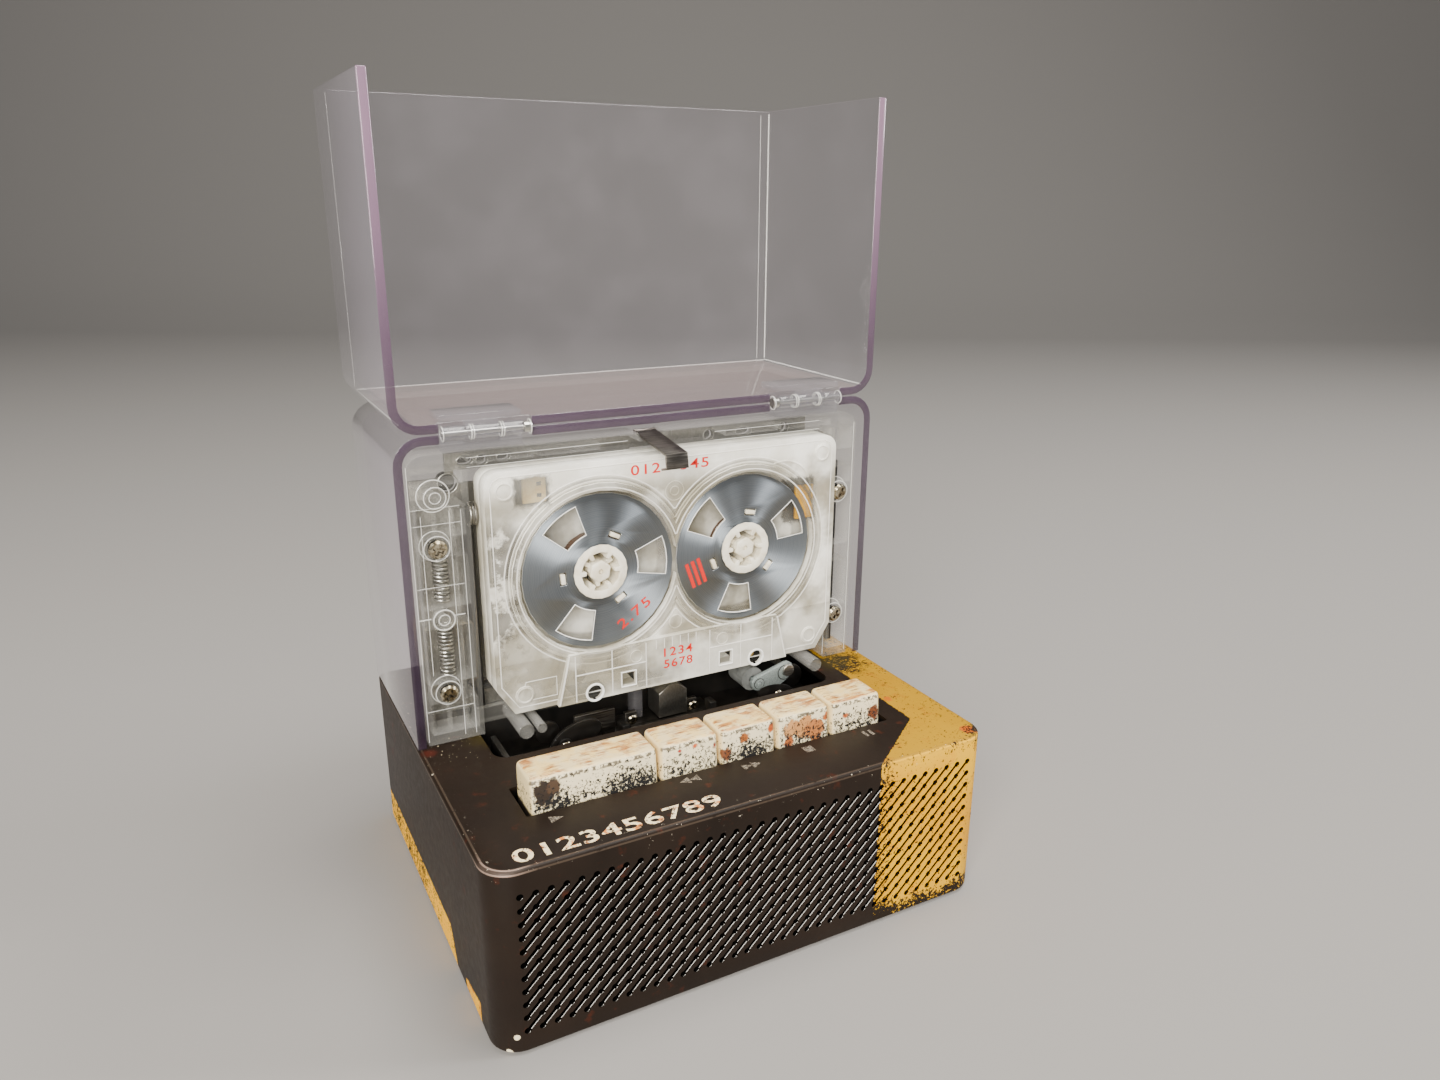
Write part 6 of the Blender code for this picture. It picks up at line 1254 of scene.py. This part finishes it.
# %% [markdown]
# Below the cassette the deck is crowded: an oval black plate with a screw, short levers and bars, a
# washer on the roller's lever. They are small rounded plates that stand on the black moulding.

# %% Deck details
def soft_plate(outline, low, high, width=0.25):
    """A thin plate that faces the front, with all its edges rounded."""
    return bevel_mesh(prism(outline, "Y", low, high), width, 2)


plates = [soft_plate(oval(*shape), low, high) for shape, low, high in (
    ((-27.5, 44.2, 7.4, 4.0, 0.35), -3.4, -2.2), ((-30.8, 43.0, 1.9, 1.9), -4.0, -3.2),
    ((-34.6, 46.4, 3.2, 3.0), -1.2, 0.0), ((33.5, 43.2, 6.2, 2.6, -0.2), -3.0, -2.0),
    ((41.8, 45.0, 3.0, 3.4), 1.0, 2.6))]
BACK_OF_COLUMN = (9.2, 11.4)
bars = [bevel_mesh(block(x, y, z), 0.3, 2) for x, y, z in (
    ((-48.4, -41.0), (-8.9, -6.9), (42.6, 43.6)), ((-48.4, -43.0), (-8.9, -6.9), (44.8, 45.6)),
    ((-48.6, -47.0), (-8.8, 3.6), (39.5, 46.6)), ((-40.0, -22.0), (-4.0, -2.6), (39.4, 41.4)),
    ((16.5, 30.0), (-4.2, -2.8), (39.4, 41.2)), ((36.0, 46.6), (-4.2, -1.6), (39.4, 42.0)),
    ((-14.8, -12.4), (-4.0, -0.2), (39.4, 44.6)), ((11.6, 13.6), (-4.0, -0.2), (39.4, 45.4)),
    ((-50.1, -47.6), BACK_OF_COLUMN, (52.5, 106.5)), ((54.4, 56.0), BACK_OF_COLUMN, (50.0, 106.5)),
    ((58.5, 60.3), BACK_OF_COLUMN, (50.0, 106.5)))]
# painted shade: black plates behind the chassis openings make the holes look dark
hole_shade_plates = [soft_plate(oval(x, z, half_x - 0.05, half_z - 0.05), 15.6, 17.4, 0.1)
            for x, z, half_x, half_z in OPENINGS]
add_piece("deck_levers", plates + bars + hole_shade_plates, black_finish, slot="black")
deck_screws = screws("deck_screws", ((-30.8, 43.0), (-19.4, 42.4), (33.5, 43.2)), 1.35, 0.8, 2.2, -4.9)
add_piece("deck_screws", deck_screws, nickel_finish, slot="steel")

ROLLER_END, PIVOT_END = (36.3, 49.0), (27.9, 47.15)
around = [Vector(point) for circle in ((*PIVOT_END, 2.1), (*ROLLER_END, 2.5), (34.2, 46.3, 1.2))
          for point in oval(*circle, count=20)]
hull = [tuple(around[index]) for index in geometry.convex_hull_2d(around)]
add_piece("lever_plate", [soft_plate(hull, -2.9, -2.3, 0.15),
                          soft_plate(oval(*ROLLER_END, 2.1), -3.15, -2.8, 0.12),
                          soft_plate(oval(*ROLLER_END, 0.6, count=14), -3.3, -3.0, 0.05),
                          soft_plate(oval(*PIVOT_END, 1.5), -3.1, -2.8, 0.1)],
          zinc_finish, "pinch_arm_body", slot="grey")
add_piece("lever_seams", [hoop(*centre, radius, y, 0.13, 28) for centre, radius, y in (
    (ROLLER_END, 2.2, -2.95), (ROLLER_END, 0.75, -3.12), (PIVOT_END, 1.55, -2.95),
    (PIVOT_END, 0.6, -3.1))], rubber_finish, "pinch_arm_body", slot="grey")

# %% [markdown]
# All the marks are plain: transport symbols in front of the keys, a row of worn cream figures near
# the front edge, red figures on the cassette, and red figures and bars on the reels. Figures are
# text and symbols are flat outlines, made into thin raised meshes that ride on what they mark.

# %% Print finishes
def worn_print(name, colour, under, wear_low, wear_high, stain=None, per_mm=1.2):
    ink = Finish(name, colour, 0.55)
    tone = colour
    if stain:
        tone = ink.noise(0.5, 4, 0.6, 5).step(0.5, 0.62).mix(colour, stain)
    wear = ink.noise(per_mm, 5, 0.7, 9).step(wear_low, wear_high)
    ink.set(Base_Color=wear.mix(tone, under))
    ink.bump(ink.noise(2.0), 0.03, 0.4)
    return ink.material


cream_print = worn_print("worn_cream_figures", shade(240, 220, 176), shade(70, 46, 30), 0.54, 0.59,
                         shade(196, 116, 52), 0.9)
grey_print = worn_print("worn_grey_symbols", shade(128, 118, 104), shade(40, 32, 26), 0.46, 0.52,
                        per_mm=2.6)
red_print = worn_print("red_figures", shade(206, 24, 14), shade(226, 96, 80), 0.62, 0.70)


# %% Print helpers
def laid(mesh, size, corner, along, upward, rise_mm=0.05):
    """Fits a flat mesh into a box of that size and lays it on a plane, in millimetres."""
    low, high = (Vector(pick(vertex.co[axis] for vertex in mesh.vertices) for axis in range(3))
                 for pick in (min, max))
    along, upward, corner = Vector(along).normalized(), Vector(upward).normalized(), Vector(corner)
    outward = along.cross(upward)
    for vertex in mesh.vertices:
        share = [(vertex.co[axis] - low[axis]) / max(high[axis] - low[axis], 1e-9) for axis in range(3)]
        vertex.co = (corner + along * share[0] * size[0] + upward * share[1] * size[1]
                     + outward * (share[2] - 0.4) * rise_mm) * MM
    return mesh


def figures(text, size, place, weight=0.01, spacing=1.15):
    """Plain figures as a thin mesh. The place is a corner and two directions."""
    curve = bpy.data.curves.new("figures", "FONT")
    curve.body = text
    curve.extrude = 0.05
    curve.offset = weight
    curve.space_character = spacing
    curve.resolution_u = 4
    build = bmesh.new()
    build.from_mesh(baked(show("figures", curve)))
    bmesh.ops.remove_doubles(build, verts=build.verts[:], dist=0.00001)
    return laid(mesh_from(build, "figures"), size, *place)


def flat_shapes(outlines, size, place):
    """Flat outlines in a unit box, as one thin mesh."""
    shapes = [prism([(x / MM, y / MM) for x, y in outline], "Z", 0.0, 0.05 / MM) for outline in outlines]
    return laid(gathered(shapes, "symbol"), size, *place)


# %% Marks on the base
ON_TOP = ((1, 0, 0), (0, 1, 0))
front_row = figures("0123456789", (49.5, 4.9), ((-59.5, -52.7, TOP), *ON_TOP), 0.015, 1.05)
add_piece("front_figures", front_row, cream_print, slot="housing")
TRIANGLE = [(0, 0), (1, 0.5), (0, 1)]
BACK_TRIANGLE = [(1, 0), (1, 1), (0, 0.5)]
SQUARE = [(0, 0), (1, 0), (1, 1), (0, 1)]


def twice(outline, width, shift):
    """Two narrow copies of an outline, side by side."""
    return [[(x * width + start, y) for x, y in outline] for start in (0, shift)]


for name, outlines, x, y, width in (
        ("play_symbol", [TRIANGLE], -46.2, -40.4, 3.2),
        ("rewind_symbol", twice(BACK_TRIANGLE, 0.5, 0.5), -12.7, -39.7, 5.2),
        ("forward_symbol", twice(TRIANGLE, 0.5, 0.5), 3.9, -40.6, 5.2),
        ("stop_symbol", [SQUARE], 20.5, -40.4, 2.7),
        ("pause_symbol", twice(SQUARE, 0.32, 0.68), 38.7, -40.5, 2.7)):
    mark = flat_shapes(outlines, (width, 2.7), ((x - width / 2, y - 1.3, TOP), *ON_TOP))
    add_piece(name, mark, grey_print, slot="housing")

# %% Marks on the cassette and the reels
UPRIGHT = ((1, 0, 0), (0, 0, 1))
red = [figures(text, size, (corner, *UPRIGHT)) for text, size, corner in (
    ("012", (8.2, 2.7), (-8.8, FACE, 111.6)), ("345", (8.2, 2.7), (5.2, FACE, 111.6)),
    ("1234", (8.6, 2.5), (-0.9, LOW_FACE, 60.6)), ("5678", (8.6, 2.5), (-0.9, LOW_FACE, 57.2)))]
add_piece("cassette_figures", red, red_print, "cassette", slot="shell")


def on_reel(hub, radius, degrees, width):
    """The lower left corner and the two directions of a mark whose top points at the centre."""
    angle = math.radians(degrees)
    upward = Vector((-math.cos(angle), 0, -math.sin(angle)))
    along = Vector((-math.sin(angle), 0, math.cos(angle)))
    middle = Vector((hub[0], 1.3, hub[1])) - upward * radius
    return middle - along * width / 2, along, upward


on_left = figures("2.75", (10.5, 2.9), on_reel(LEFT_HUB, 17.6, -55, 10.5), spacing=1.2)
add_piece("left_reel_figures", on_left, red_print, "reel_left", slot="reel")
bars = [[(0, low), (1, low), (1, low + 0.22), (0, low + 0.22)] for low in (0, 0.39, 0.78)]
add_piece("right_reel_bars", flat_shapes(bars, (7.4, 4.6), on_reel(RIGHT_HUB, 18.0, 199, 7.4)),
          red_print, "reel_right", slot="reel")
